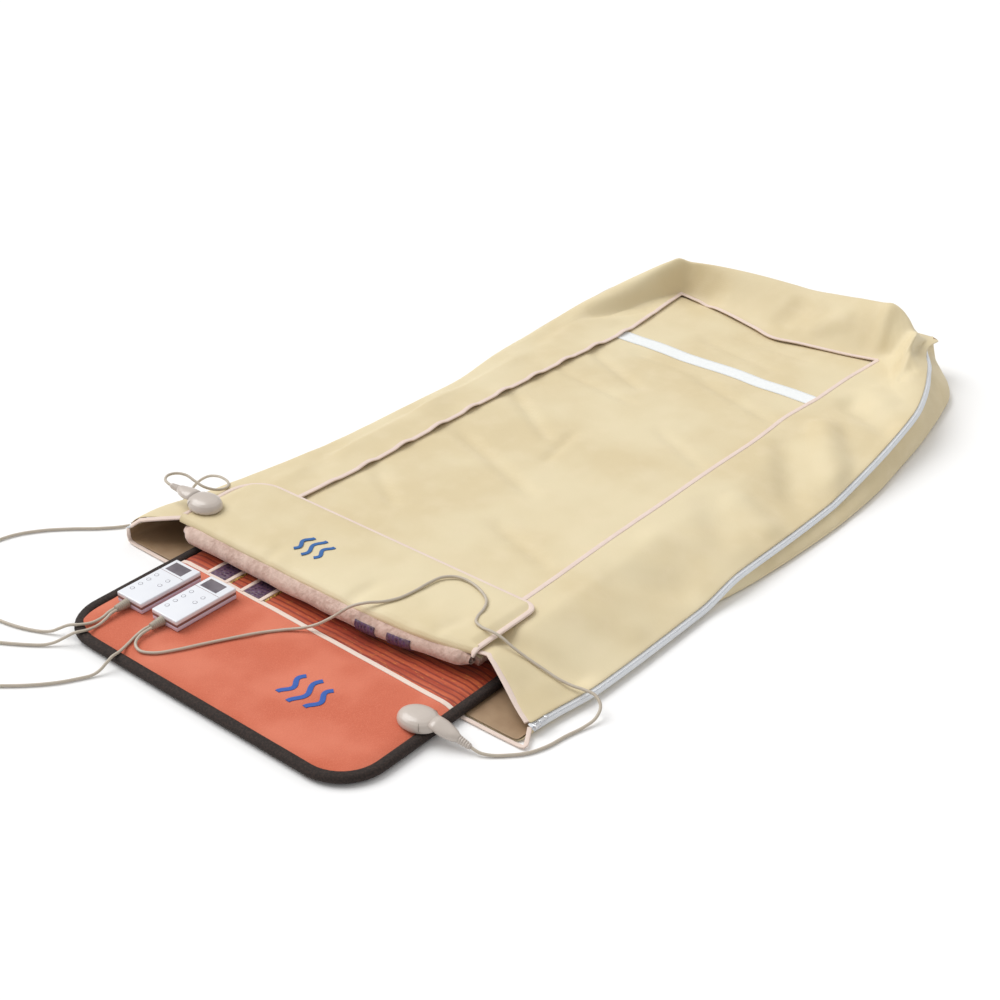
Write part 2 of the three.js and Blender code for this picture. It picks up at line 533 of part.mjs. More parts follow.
// Mains plug, lying on the floor, blades towards the heading; x and y are its strain relief's tip.
function mainsPlug(name, x, y, heading) {
  const taper = [[0, 0], [MAINS.tip, 0], [MAINS.tip + 2.2, MAINS.relief + 2], [0, MAINS.relief + 2]];
  const relief = new THREE.LatheGeometry(taper.map(([a, b]) => new THREE.Vector2(a, b)), 14);
  relief.rotateZ(-Math.PI / 2);
  const half = MAINS.tall / 2;
  const body = plate(roundedRect(0, MAINS.body, -MAINS.wide / 2, MAINS.wide / 2, 5, 5), -half, half);
  let joined = solid(relief).add(solid(body.translate(MAINS.relief, 0, 0)));
  for (const side of [-1, 1]) {
    const [tall, long, thin] = MAINS.blade;
    const blade = new THREE.BoxGeometry(long + 4, thin, tall);
    blade.translate(MAINS.relief + MAINS.body + long / 2 - 2, (side * MAINS.pitch) / 2, 0);
    joined = joined.add(solid(blade));
  }
  const mesh = add(name, shell(joined), 0x3a3836, 0.5);
  mesh.position.set(x, y, half + GAP);
  mesh.rotation.z = radians(heading);
}
mainsPlug('mains_plug_1', COIL_1[0] - 6, COIL_1[1] - 50.5, 180);
mainsPlug('mains_plug_2', COIL_2[0] - 6, COIL_2[1] - 50.5, 180);

export default assembly;
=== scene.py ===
from math import cos, pi, radians, sin, sqrt

import bmesh
import bpy
from mathutils import Matrix, Vector, noise


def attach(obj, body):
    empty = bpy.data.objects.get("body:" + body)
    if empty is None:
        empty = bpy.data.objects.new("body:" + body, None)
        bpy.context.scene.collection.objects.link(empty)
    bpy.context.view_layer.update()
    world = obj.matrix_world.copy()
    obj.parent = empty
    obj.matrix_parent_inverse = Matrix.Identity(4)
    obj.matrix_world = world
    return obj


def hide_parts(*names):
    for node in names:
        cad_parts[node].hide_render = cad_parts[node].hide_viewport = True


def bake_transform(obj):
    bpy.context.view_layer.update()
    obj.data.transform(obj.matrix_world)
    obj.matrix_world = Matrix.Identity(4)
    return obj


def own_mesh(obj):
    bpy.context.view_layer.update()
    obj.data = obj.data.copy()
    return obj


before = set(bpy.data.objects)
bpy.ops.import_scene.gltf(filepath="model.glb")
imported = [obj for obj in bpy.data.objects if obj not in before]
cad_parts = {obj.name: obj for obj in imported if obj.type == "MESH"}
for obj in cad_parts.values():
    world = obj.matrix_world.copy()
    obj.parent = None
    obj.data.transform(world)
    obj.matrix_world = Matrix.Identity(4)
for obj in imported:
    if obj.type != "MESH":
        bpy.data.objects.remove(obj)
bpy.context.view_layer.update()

# ---------------------------------------------------------------- studio
# A white floor, a grey-white room and two broad soft suns, with the camera standing to the right
# of the head end and looking down at about thirty degrees.
CAMERA_AT = (1.70711, -2.27621, 1.60327)
CAMERA_TURN, CAMERA_TILT, CAMERA_ROLL = 39.57, 59.76, 0.18
bpy.context.scene.view_settings.view_transform = "Standard"
lens = bpy.data.cameras.new("camera")
lens.lens = 57.72
lens.clip_end = 30
camera = bpy.data.objects.new("camera", lens)
bpy.context.collection.objects.link(camera)
aim = Matrix.Rotation(radians(CAMERA_TURN), 4, "Z") @ Matrix.Rotation(radians(CAMERA_TILT), 4, "X")
roll = Matrix.Rotation(radians(CAMERA_ROLL), 4, "Z")
camera.matrix_world = Matrix.Translation(CAMERA_AT) @ aim @ roll
bpy.context.scene.camera = camera

room = bpy.data.worlds.new("room")
room.use_nodes = True
room.node_tree.nodes["Background"].inputs["Color"].default_value = (1.0, 0.99, 0.98, 1)
room.node_tree.nodes["Background"].inputs["Strength"].default_value = 0.50
bpy.context.scene.world = room


def lamp(name, toward, strength, spread):
    """A broad soft light as even as a sun, shining from that direction."""
    light = bpy.data.lights.new(name, "SUN")
    light.energy = strength
    light.angle = radians(spread)
    made = bpy.data.objects.new(name, light)
    bpy.context.collection.objects.link(made)
    made.rotation_euler = Vector(toward).to_track_quat("Z", "Y").to_euler()


lamp("key_lamp", (-0.64, -0.12, 0.80), 2.02, 46)
lamp("fill_lamp", (0.1, 0.5, 1.0), 0.40, 90)

bpy.ops.object.select_all(action="DESELECT")
bpy.ops.mesh.primitive_plane_add(size=60, location=(0, 0, -0.0005))
floor = bpy.context.active_object
floor.name = "floor"
paper = bpy.data.materials.new("floor_paper")
paper.use_nodes = True
paper.node_tree.nodes["Principled BSDF"].inputs["Base Color"].default_value = (0.96, 0.96, 0.96, 1)
paper.node_tree.nodes["Principled BSDF"].inputs["Roughness"].default_value = 0.9
floor.data.materials.append(paper)

# ---------------------------------------------------------------- leads from pods to controllers
# Two soft PVC leads, 5.4 mm thick. Each is moulded into the plug of its pod at one end and into
# the strain relief of its hand controller at the other.
LEAD_THICK = 0.0054


class Socket:
    """One output of a node: arithmetic on it adds Math nodes, make() adds any other node."""

    def __init__(self, tree, out=None):
        self.tree, self.out = tree, out

    def make(self, kind, settings, inputs, output=0):
        node = self.tree.nodes.new(kind)
        for key, value in settings.items():
            setattr(node, key, value)
        for key, value in inputs.items():
            if isinstance(value, Socket):
                self.tree.links.new(value.out, node.inputs[key])
            else:
                node.inputs[key].default_value = value
        return Socket(self.tree, node.outputs[output])

    def maths(self, operation, first, second=0.0):
        return self.make("ShaderNodeMath", {"operation": operation}, {0: first, 1: second})

    def __add__(self, other):
        return self.maths("ADD", self, other)

    def __sub__(self, other):
        return self.maths("SUBTRACT", self, other)

    def __rsub__(self, other):
        return self.maths("SUBTRACT", other, self)

    def __mul__(self, other):
        return self.maths("MULTIPLY", self, other)

    __radd__ = __add__
    __rmul__ = __mul__

    def steps(self, low, high):
        """0 below low, 1 above high, smooth between."""
        inputs = {"Value": self, "From Min": low, "From Max": high}
        return self.make("ShaderNodeMapRange", {"interpolation_type": "SMOOTHSTEP"}, inputs)

    def blend(self, first, second):
        """A colour between two, by this value."""
        first, second = (c if isinstance(c, Socket) else (*c, 1) for c in (first, second))
        inputs = {0: self, 6: first, 7: second}
        return self.make("ShaderNodeMix", {"data_type": "RGBA"}, inputs, 2)

    def place(self, scale=(1, 1, 1), of="Object"):
        """The place on the piece, or its UV, stretched."""
        where = self.make("ShaderNodeTexCoord", {}, {}, of)
        return self.make("ShaderNodeMapping", {}, {"Vector": where, "Scale": scale})

    def grain(self, scale, detail=3.0, stretch=(1, 1, 1), of="Object"):
        """Noise from 0 to 1 with that many cells to a metre."""
        inputs = {"Vector": self.place(stretch, of), "Scale": scale, "Detail": detail}
        return self.make("ShaderNodeTexNoise", {}, inputs)

    def stripes(self, pitch, axis, of="Object", bend=0.0):
        """Sine bands across one axis, that far apart."""
        settings = {"wave_type": "BANDS", "bands_direction": axis, "wave_profile": "SIN"}
        inputs = {"Vector": self.place(of=of), "Scale": 2 * pi / 20 / pitch, "Distortion": bend}
        return self.make("ShaderNodeTexWave", settings, inputs, 1)

    def raised(self, height, strength=1.0):
        """A normal from this height, in metres."""
        inputs = {"Height": self, "Distance": height, "Strength": strength}
        return self.make("ShaderNodeBump", {}, inputs)

    def wire(self, **links):
        """Joins values to the inputs of the material's shader."""
        shader = self.tree.nodes["Principled BSDF"]
        for key, value in links.items():
            self.tree.links.new(value.out, shader.inputs[key.replace("_", " ").title()])


def finish(name, **constants):
    """A new material and its node graph, with the shader's fixed values set."""
    made = bpy.data.materials.new(name)
    made.use_nodes = True
    shader = made.node_tree.nodes["Principled BSDF"]
    for key, value in constants.items():
        shader.inputs[key.replace("_", " ").title()].default_value = value
    return made, Socket(made.node_tree)


jacket, graph = finish("lead_jacket", Roughness=0.42, Coat_Weight=0.1, Coat_Roughness=0.3)
mottle = graph.grain(60)
graph.wire(
    Base_Color=mottle.blend((0.47, 0.41, 0.33), (0.57, 0.50, 0.41)),
    Roughness=graph.grain(400) * 0.2 + 0.34,
    Normal=graph.grain(900, 2).raised(0.00012, 0.4),
)


def route(points, step=0.005):
    """A centripetal curve through the points, as close points an even step apart."""
    knots = [Vector(p) for p in points]
    knots = [2 * knots[0] - knots[1], *knots, 2 * knots[-1] - knots[-2]]
    close = []
    for a, b, c, d in zip(knots, knots[1:], knots[2:], knots[3:]):
        ab, bc, cd = (sqrt((q - p).length) for p, q in ((a, b), (b, c), (c, d)))
        into = ((b - a) / ab - (c - a) / (ab + bc) + (c - b) / bc) * bc
        away = ((c - b) / bc - (d - b) / (bc + cd) + (d - c) / cd) * bc
        for i in range(40):
            t = i / 40
            cubic = (2 * b - 2 * c + into + away) * t**3
            close.append(cubic + (3 * c - 3 * b - 2 * into - away) * t**2 + into * t + b)
    close.append(knots[-2].copy())
    far = [0.0]
    for p, q in zip(close, close[1:]):
        far.append(far[-1] + (q - p).length)
    count = max(2, round(far[-1] / step))
    even, k = [], 0
    for i in range(count + 1):
        want = far[-1] * i / count
        while k < len(far) - 2 and far[k + 1] < want:
            k += 1
        share = (want - far[k]) / max(1e-9, far[k + 1] - far[k])
        even.append(close[k].lerp(close[k + 1], min(1, max(0, share))))
    return even, far[-1]


def swept(name, points, thick, wide=0.0, turn=0.0, closed=False, sides=3):
    """A round cord or, with a width, a flat band along points, as a mesh."""
    bpy.ops.object.select_all(action="DESELECT")
    bpy.ops.curve.primitive_nurbs_path_add()
    made = bpy.context.active_object
    made.name = name
    made.location = (0, 0, 0)
    line = made.data
    line.splines.clear()
    spline = line.splines.new("POLY")
    spline.points.add(len(points) - 1)
    for knot, p in zip(spline.points, points):
        knot.co = (*p, 1)
        knot.tilt = turn
    spline.use_cyclic_u = closed
    line.dimensions = "3D"
    line.twist_mode = "Z_UP"
    line.bevel_depth = thick / 2
    line.bevel_resolution = sides
    line.extrude = max(0.0, wide / 2 - thick / 2)
    line.use_fill_caps = not closed
    bpy.ops.object.convert(target="MESH")
    made = bpy.context.active_object
    bpy.ops.object.shade_smooth()
    return made


RIGHT_LEAD = [
    (0.4213, -0.7894, 0.0109), (0.436, -0.7865, 0.0062), (0.452, -0.777, 0.0035), (0.473, -0.758, 0.0031),
    (0.492, -0.735, 0.0031), (0.505, -0.703, 0.0031), (0.512, -0.664, 0.0031), (0.521, -0.628, 0.004),
    (0.525, -0.603, 0.009), (0.52, -0.584, 0.019), (0.503, -0.576, 0.0275), (0.484, -0.578, 0.03),
    (0.462, -0.583, 0.031), (0.437, -0.588, 0.0355), (0.411, -0.591, 0.043), (0.38, -0.595, 0.053),
    (0.35, -0.6, 0.066), (0.33, -0.603, 0.077), (0.313, -0.605, 0.0816), (0.29, -0.606, 0.0816),
    (0.271, -0.6, 0.0815), (0.262, -0.584, 0.0815), (0.256, -0.562, 0.0815), (0.243, -0.54, 0.0815),
    (0.218, -0.524, 0.0815), (0.183, -0.514, 0.0815), (0.156, -0.517, 0.0815), (0.138, -0.533, 0.0815),
    (0.132, -0.56, 0.0815), (0.13, -0.595, 0.0815), (0.124, -0.63, 0.0815), (0.11, -0.656, 0.0815),
    (0.092, -0.676, 0.082), (0.072, -0.694, 0.075), (0.046, -0.712, 0.052), (0.022, -0.728, 0.034),
    (0.0, -0.743, 0.0245), (-0.024, -0.765, 0.0217), (-0.052, -0.802, 0.0217), (-0.078, -0.846, 0.0217),
    (-0.1, -0.885, 0.0217), (-0.12, -0.922, 0.0217), (-0.14, -0.95, 0.0217), (-0.163, -0.963, 0.0222),
    (-0.184, -0.956, 0.0235), (-0.194, -0.938, 0.026), (-0.1948, -0.923, 0.0276), (-0.1948, -0.9113, 0.028),
]
LEFT_LEAD = [
    (-0.2902, -0.9153, 0.028), (-0.2902, -0.927, 0.0274), (-0.29, -0.943, 0.0235), (-0.294, -0.963, 0.0217),
    (-0.305, -0.979, 0.0217), (-0.319, -0.991, 0.021), (-0.333, -1.001, 0.0135), (-0.346, -1.01, 0.0062),
    (-0.364, -1.02, 0.0032), (-0.4, -1.035, 0.0031), (-0.45, -1.046, 0.0031), (-0.51, -1.048, 0.0031),
    (-0.57, -1.036, 0.0031), (-0.625, -1.006, 0.0031), (-0.662, -0.96, 0.0031), (-0.676, -0.908, 0.0031),
    (-0.668, -0.858, 0.0031), (-0.64, -0.812, 0.0031), (-0.602, -0.772, 0.0031), (-0.562, -0.736, 0.0031),
    (-0.53, -0.698, 0.0031), (-0.512, -0.652, 0.0031), (-0.51, -0.604, 0.0031), (-0.518, -0.566, 0.004),
    (-0.527, -0.54, 0.011), (-0.524, -0.52, 0.025), (-0.508, -0.508, 0.038), (-0.484, -0.504, 0.046),
    (-0.456, -0.508, 0.051), (-0.431, -0.52, 0.056), (-0.414, -0.54, 0.061), (-0.414, -0.564, 0.067),
    (-0.43, -0.581, 0.075), (-0.452, -0.585, 0.082), (-0.474, -0.586, 0.087), (-0.491, -0.595, 0.089),
    (-0.498, -0.61, 0.089), (-0.491, -0.624, 0.088), (-0.478, -0.6288, 0.0869), (-0.4662, -0.6293, 0.0859),
]
for name, points in (("lead_right", RIGHT_LEAD), ("lead_left", LEFT_LEAD)):
    line, long = route(points)
    if name == "lead_left":
        line.reverse()
    lead = swept(name + "_cord", line, LEAD_THICK, sides=4)
    lead.data.materials.append(jacket)
    if name == "lead_right":
        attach(lead, "bag_base")
        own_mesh(lead)
    else:
        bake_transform(lead)
    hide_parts(name)
    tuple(line[0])
    [tuple(p) for p in line]

# ---------------------------------------------------------------- mains leads, coils and plugs
# The same lead, wound for storage into eight turns beside and on each other, held by a tie, and
# ending in a moulded two-blade plug.
COILS = {1: (-0.520, -1.110), 2: (-0.400, -1.190)}
MAINS_ROUTES = {
    1: [
        (-0.2838, -0.9153, 0.028), (-0.2836, -0.927, 0.0274), (-0.281, -0.943, 0.0235),
        (-0.279, -0.962, 0.0217), (-0.282, -0.981, 0.0217), (-0.292, -1.0, 0.0216),
        (-0.303, -1.015, 0.014),
        (-0.313, -1.027, 0.007), (-0.326, -1.041, 0.0034), (-0.352, -1.061, 0.0031),
        (-0.396, -1.0886, 0.0031),
        (-0.4463, -1.1176, 0.0031), (-0.4981, -1.1475, 0.0031),
    ],
    2: [
        (-0.2012, -0.9113, 0.028), (-0.2018, -0.924, 0.0273), (-0.202, -0.94, 0.0234),
        (-0.196, -0.962, 0.0217), (-0.189, -0.986, 0.0217), (-0.187, -1.003, 0.022),
        (-0.187, -1.016, 0.016), (-0.188, -1.029, 0.0085), (-0.192, -1.043, 0.0038),
        (-0.203, -1.064, 0.0031), (-0.222, -1.094, 0.0031), (-0.252, -1.128, 0.0031),
        (-0.29, -1.162, 0.0031), (-0.33, -1.1965, 0.0031), (-0.3781, -1.2275, 0.0031),
    ],
}
COIL_MEAN, COIL_FOOT = 0.032, 0.00275
INNER, MIDDLE, OUTER = (COIL_MEAN + k * LEAD_THICK for k in (-1, 0, 1))
LOW, HALFWAY, HIGH = (COIL_FOOT + k * LEAD_THICK for k in range(3))
TURNS = [
    (OUTER, LOW), (MIDDLE, LOW), (INNER, LOW), (INNER, HALFWAY), (MIDDLE, HALFWAY), (OUTER, HALFWAY),
    (MIDDLE, HIGH), (OUTER, HIGH),
]
TURN_STEPS, TURN_START, TURN_STEP = 20, -82, 18
LAST_TURN_END = 300
LONG_CLIMB = 5  # the turn that climbs early, to clear the one it ends on
COIL_EXIT = [
    (0.0325, -0.0205, 0.0134), (0.0262, -0.033, 0.0125), (0.0165, -0.0432, 0.0108),
    (0.0055, -0.0492, 0.0096), (-0.0056, -0.0505, 0.0093),
]
PLUG_TIP = Vector((-0.006, -0.0505, 0.0093))
TIE = [
    (0.0232, 0.001), (0.0225, 0.009), (0.0238, 0.0166), (0.032, 0.0171), (0.0402, 0.0166), (0.0414, 0.009),
    (0.0408, 0.001),
]


def wound(centre):
    """Clockwise turns from the end of the lead's route to the plug, as points."""
    points = []
    for turn, (radius, height) in enumerate(TURNS):
        last = turn == len(TURNS) - 1
        wider, higher = TURNS[min(turn + 1, len(TURNS) - 1)]
        for step in range(TURN_STEPS):
            if last and step * TURN_STEP > LAST_TURN_END:
                break
            if turn == LONG_CLIMB:
                climb = min(1, max(0, (step - 7) / 4))
                shift = min(1, max(0, (step - 11) / 4))
            else:
                climb = shift = min(1, max(0, (step - 15) / 5))
            r = radius + (wider - radius) * shift
            z = height + (higher - height) * climb
            where = radians(TURN_START - step * TURN_STEP)
            points.append((centre[0] + r * cos(where), centre[1] + r * sin(where), z))
    return points + [(centre[0] + x, centre[1] + y, z) for x, y, z in COIL_EXIT]


def grid_piece(name, columns, rows, place, closed=False):
    """A grid with that many cells, each point set by place(u, v), with the grid's UV map kept."""
    bpy.ops.object.select_all(action="DESELECT")
    bpy.ops.mesh.primitive_grid_add(x_subdivisions=columns, y_subdivisions=rows, size=1)
    made = bpy.context.active_object
    made.name = name
    for point in made.data.vertices:
        point.co = place(point.co.x + 0.5, point.co.y + 0.5)
    bpy.ops.object.mode_set(mode="EDIT")
    bpy.ops.mesh.select_all(action="SELECT")
    if closed:
        bpy.ops.mesh.remove_doubles(threshold=0.00002)
        bpy.ops.mesh.normals_make_consistent(inside=False)
    bpy.ops.object.mode_set(mode="OBJECT")
    bpy.ops.object.shade_smooth()
    return made


def along(points, share):
    """The point at that share of a list of points, straight between them."""
    spot = min(max(share, 0), 1) * (len(points) - 1)
    k = min(int(spot), len(points) - 2)
    return [a + (b - a) * (spot - k) for a, b in zip(points[k], points[k + 1])]


def turned(name, profile, around, turn_place):
    """A body turned from (radius, height) pairs, then put in place by turn_place(x, y, z)."""

    def spot(u, v):
        radius, height = along(profile, v)
        return turn_place(radius * cos(2 * pi * u), radius * sin(2 * pi * u), height)

    return grid_piece(name, around, len(profile) - 1, spot, closed=True)


def bevelled(name, size, centre, corner, edge):
    """A box with rounded upright corners and softened top and bottom edges."""
    bpy.ops.object.select_all(action="DESELECT")
    bpy.ops.mesh.primitive_cube_add(size=1)
    made = bpy.context.active_object
    made.name = name
    made.data.transform(Matrix.Diagonal((*size, 1)))
    bpy.ops.object.mode_set(mode="EDIT")
    shape = bmesh.from_edit_mesh(made.data)
    for line in shape.edges:
        line.select_set(abs((line.verts[0].co - line.verts[1].co).z) > size[2] / 2)
    bmesh.update_edit_mesh(made.data)
    bpy.ops.mesh.bevel(offset=corner, segments=6, affect="EDGES")
    shape = bmesh.from_edit_mesh(made.data)
    for line in shape.edges:
        line.select_set(all(abs(abs(v.co.z) - size[2] / 2) < 1e-6 for v in line.verts))
    bmesh.update_edit_mesh(made.data)
    bpy.ops.mesh.bevel(offset=edge, segments=3, affect="EDGES")
    bpy.ops.object.mode_set(mode="OBJECT")
    made.data.transform(Matrix.Translation(centre))
    bpy.ops.object.shade_smooth_by_angle(angle=radians(40))
    return made


def ribbed(wide, change, start, pitch, crest, length, deep):
    """Six ribs on a tapering boot, as (radius, height) pairs."""
    pairs = []
    for k in range(6):
        r, z = wide + change * k / 6, start + k * pitch
        pairs += [(r, z), (r, z + crest), (r - deep, z + crest + 0.0003), (r - deep, z + length)]
    return pairs


def joined(name, *parts):
    bpy.ops.object.select_all(action="DESELECT")
    for part in parts:
        part.select_set(True)
    bpy.context.view_layer.objects.active = parts[0]
    bpy.ops.object.join()
    parts[0].name = name
    return parts[0]


plug_plastic, graph = finish("plug_plastic", Roughness=0.5)
graph.wire(
    Base_Color=graph.grain(30).blend((0.40, 0.35, 0.28), (0.47, 0.41, 0.34)),
    Roughness=graph.grain(300) * 0.2 + 0.4,
    Normal=graph.grain(1500, 2).raised(0.0001, 0.5),
)
blade_metal, graph = finish("blade_metal", Metallic=1.0, Base_Color=(0.72, 0.68, 0.58, 1))
graph.wire(Roughness=graph.grain(200, 2, (1, 6, 1)) * 0.25 + 0.2)

for number, centre in COILS.items():
    line, long = route(MAINS_ROUTES[number] + wound(centre))
    mains = swept(f"mains_cord_{number}", line, LEAD_THICK, sides=3)
    mains.data.materials.append(jacket)

    tip = Vector((*centre, 0)) + PLUG_TIP
    ribs = ribbed(0.0044, 0.0022, 0.001, 0.004, 0.0025, 0.0037, 0.0009)
    profile = [(0, 0), (0.0042, 0), *ribs, (0.007, 0.026), (0.007, 0.029), (0, 0.029)]
    boot = turned("plug_boot", profile, 20, lambda x, y, z: tip + Vector((-z, y, x)))
    body = bevelled("plug_body", (0.036, 0.026, 0.018), tip - Vector((0.044, 0, 0)), 0.006, 0.003)
    grip = bevelled("plug_grip", (0.004, 0.0272, 0.0186), tip - Vector((0.056, 0, 0)), 0.0015, 0.0015)
    blades = []
    for side in (-1, 1):
        middle = tip + Vector((-0.070, side * 0.00635, 0))
        blades.append(bevelled("blade", (0.019, 0.0015, 0.0064), middle, 0.0005, 0.0004))
    for piece in (boot, body, grip):
        piece.data.materials.append(plug_plastic)
    for piece in blades:
        piece.data.materials.append(blade_metal)
    plug = joined(f"mains_plug_body_{number}", boot, body, grip, *blades)
    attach(plug, "bag_base")
    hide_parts(f"mains_plug_{number}")

    outline, _ = route([(centre[0] + 0.2 * r, centre[1] + 0.98 * r, z) for r, z in TIE], 0.002)
    tie = swept(f"coil_tie_{number}", outline, 0.0011, 0.010, radians(90))
    tie.data.materials.append(plug_plastic)
    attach(tie, "bag_base")

    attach(mains, "bag_base")
    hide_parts(f"mains_lead_{number}", f"mains_coil_{number}")
    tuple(line[0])
    [tuple(p) for p in line]

# ---------------------------------------------------------------- base of the bag and its lining
# The lower half of the bag: coated cream cloth under the mats, turned up into a soft wall round
# the sides and foot, with a brown lining sewn inside it.
BAG_HALF = 0.478
BAG_FRONT = -0.730
BAG_BACK = 0.925
BAG_CORNER = 0.150
WALL_OUT = 0.005
FLAT_LEFT, FLAT_RIGHT = 0.362, 0.335  # the top lies level this far out
LEVEL = 0.064  # height of that level part
ZIP_LEFT, ZIP_HEAD, ZIP_SIDE, ZIP_FOOT = 0.030, 0.014, 0.032, 0.084
ZIP_STEP, ZIP_RISE = (-0.250, -0.120), (0.200, 0.640)  # the right zip climbs along these
MOUTH_LEFT, MOUTH_RIGHT = -0.728, -0.694  # where the zips start
LIP_LEAN = 0.032  # the wall's foot lies that far ahead of the right zip's start
FLOOR_LIFT = 0.0013
STILL = 0.32  # cloth nearer the middle than this isn't drawn in
FOOT_SPREAD = [
    (-0.730, 0.478), (-0.660, 0.476), (-0.565, 0.468), (-0.373, 0.464), (-0.254, 0.462), (-0.156, 0.486),
    (-0.048, 0.499), (0.118, 0.509), (0.196, 0.512), (0.346, 0.510), (0.473, 0.500), (0.618, 0.492),
    (0.738, 0.494), (0.925, 0.500),
]
DRAWN_LEFT = [
    (-0.730, 0.0), (-0.660, 0.004), (-0.600, 0.022), (-0.500, 0.038), (-0.377, 0.056), (-0.264, 0.069),
    (-0.100, 0.076), (0.106, 0.078), (0.200, 0.066), (0.311, 0.048), (0.497, 0.027), (0.640, 0.018),
    (0.800, 0.010), (0.925, 0.0),
]
DRAWN_RIGHT = [
    (-0.730, 0.024), (-0.650, 0.016), (-0.540, 0.0), (-0.150, -0.006), (0.100, -0.012), (0.350, -0.009),
    (0.520, 0.002), (0.600, 0.014), (0.690, 0.044), (0.766, 0.078), (0.850, 0.115), (0.925, 0.140),
]


def mix(a, b, t):
    return a + (b - a) * t


def smooth(t):
    t = min(1, max(0, t))
    return t * t * (3 - 2 * t)


def read(table, at):
    """The value beside at on a smooth curve through a table of (place, value) pairs."""
    k, last = 1, len(table) - 1
    while k < last and at > table[k][0]:
        k += 1
    (a, x), (b, y) = table[k - 1 : k + 1]
    before, after = table[max(0, k - 2)], table[min(last, k + 1)]
    into = (y - before[1]) / (b - before[0]) * (b - a)
    away = (after[1] - x) / (after[0] - a) * (b - a)
    t = min(1, max(0, (at - a) / (b - a)))
    bend = (2 * x - 2 * y + into + away) * t + 3 * y - 3 * x - 2 * into - away
    return (bend * t + into) * t + x


def passed(span, at):
    """How far along a span a value is: 0 at its start, 1 at its end."""
    return (at - span[0]) / (span[1] - span[0])


def drawn(x, y):
    """Where a point of a straight-sided bag lies once the cloth is drawn in at its sides."""
    pull = read(DRAWN_LEFT, y) if x < 0 else -read(DRAWN_RIGHT, y)
    return x + pull * smooth((abs(x) - STILL) / (BAG_HALF - STILL))


def soft(x, y, z, size, high):
    """Slow random swells, the same at every run."""
    return high * noise.noise(Vector((x / size, y / size, z / size)))


def bag_half(y):
    into = max(0, y - (BAG_BACK - BAG_CORNER))
    return BAG_HALF - BAG_CORNER + sqrt(max(0, BAG_CORNER**2 - into**2))


def zip_height(x, y):
    side = mix(ZIP_HEAD, ZIP_SIDE, smooth(passed(ZIP_STEP, y)))
    side = mix(side, ZIP_FOOT, min(1, max(0, passed(ZIP_RISE, y))))
    across = smooth((x + BAG_HALF - BAG_CORNER) / (2 * (BAG_HALF - BAG_CORNER)))
    return mix(ZIP_LEFT, side, across if y > BAG_BACK - BAG_CORNER else (1 if x > 0 else 0))


def outline_points(side_cells=56, corner_cells=16):
    """The zip line in plan: right mouth, right side, foot, left side, left mouth."""
    points = []
    straight = BAG_BACK - BAG_CORNER
    for side in (1, -1):
        arc = []
        start = MOUTH_RIGHT if side > 0 else MOUTH_LEFT
        for i in range(side_cells):
            arc.append((side * BAG_HALF, mix(start, straight, i / side_cells)))
        for i in range(corner_cells + 1):
            turn = i / corner_cells * pi / 2
            x = BAG_HALF - BAG_CORNER + BAG_CORNER * cos(turn)
            arc.append((side * x, straight + BAG_CORNER * sin(turn)))
        points += arc if side > 0 else [(0, BAG_BACK)] + arc[::-1]
    return points


OUTLINE = outline_points()


def outward(x, y):
    """The unit step out of the bag at a point of the zip line."""
    if y <= BAG_BACK - BAG_CORNER:
        return (1 if x > 0 else -1, 0)
    centre = (min(BAG_HALF - BAG_CORNER, max(BAG_CORNER - BAG_HALF, x)), BAG_BACK - BAG_CORNER)
    way = Vector((x - centre[0], y - centre[1])).normalized()
    return way.x, way.y


def lower_shell(name, inside):
    """The floor and wall as one cloth; inside moves it in and up for the lining."""
    section = [0, 0.06, 0.25, 0.45, 0.62, 0.76, 0.88, 1.0]
    inward = [0.03, 0.10, 0.25, 0.45, 0.7, 1.0]
    cells = len(section) + len(inward) - 1

    def spot(u, v):
        x, y = along(OUTLINE, u)
        ox, oy = outward(x, y)
        height = zip_height(x, y) - 0.001
        pulled = read(DRAWN_RIGHT, y) * 0.45 * max(0, ox) ** 2 if y > -0.6 else 0.0
        spread = 0.006 + soft(0, y, 0, 0.2, 0.005)
        spread = mix(spread, read(FOOT_SPREAD, y) - BAG_HALF + pulled, smooth((x - 0.26) / 0.18))
        lean = LIP_LEAN * (1 - smooth((y - MOUTH_RIGHT) / 0.12)) if x > 0 else 0
        x = drawn(x, y)
        k = round(v * cells)
        if k < len(section):
            down = section[k]
            out = WALL_OUT + spread * smooth(down * 1.1) + 0.004 * sin(pi * down)
            out += soft(x * 2, y, down * 0.1, 0.05, 0.0022) * sin(pi * min(1, down * 1.05))
            y -= lean * down
            if down == 1.0:
                out -= 0.003
            z = max(mix(height, FLOOR_LIFT, down), FLOOR_LIFT)
            out -= inside
            return (x + ox * out, y + oy * out, z + inside * min(1, down * 1.2))
        y -= lean
        share = inward[k - len(section)]
        spine = (0, min(y, BAG_BACK - 0.42))
        out = WALL_OUT + spread - 0.008 - inside
        x, y = mix(x + ox * out, spine[0], share), mix(y + oy * out, spine[1], share)
        return (x, y, FLOOR_LIFT + inside)

    return grid_piece(name, len(OUTLINE) - 1, cells, spot, closed=True)


def thickened(piece, thick, finer_by=1, offset=0, under=0, rim=0):
    """Gives a cloth its thickness, other materials of its own below and at its rim, and a finer mesh."""
    bpy.context.view_layer.objects.active = piece
    wall = piece.modifiers.new("cloth", "SOLIDIFY")
    wall.thickness = thick
    wall.offset = offset
    wall.material_offset = under
    wall.material_offset_rim = rim
    bpy.ops.object.modifier_apply(modifier=wall.name)
    if finer_by:
        finer = piece.modifiers.new("finer", "SUBSURF")
        finer.levels = finer.render_levels = finer_by
        bpy.ops.object.modifier_apply(modifier=finer.name)


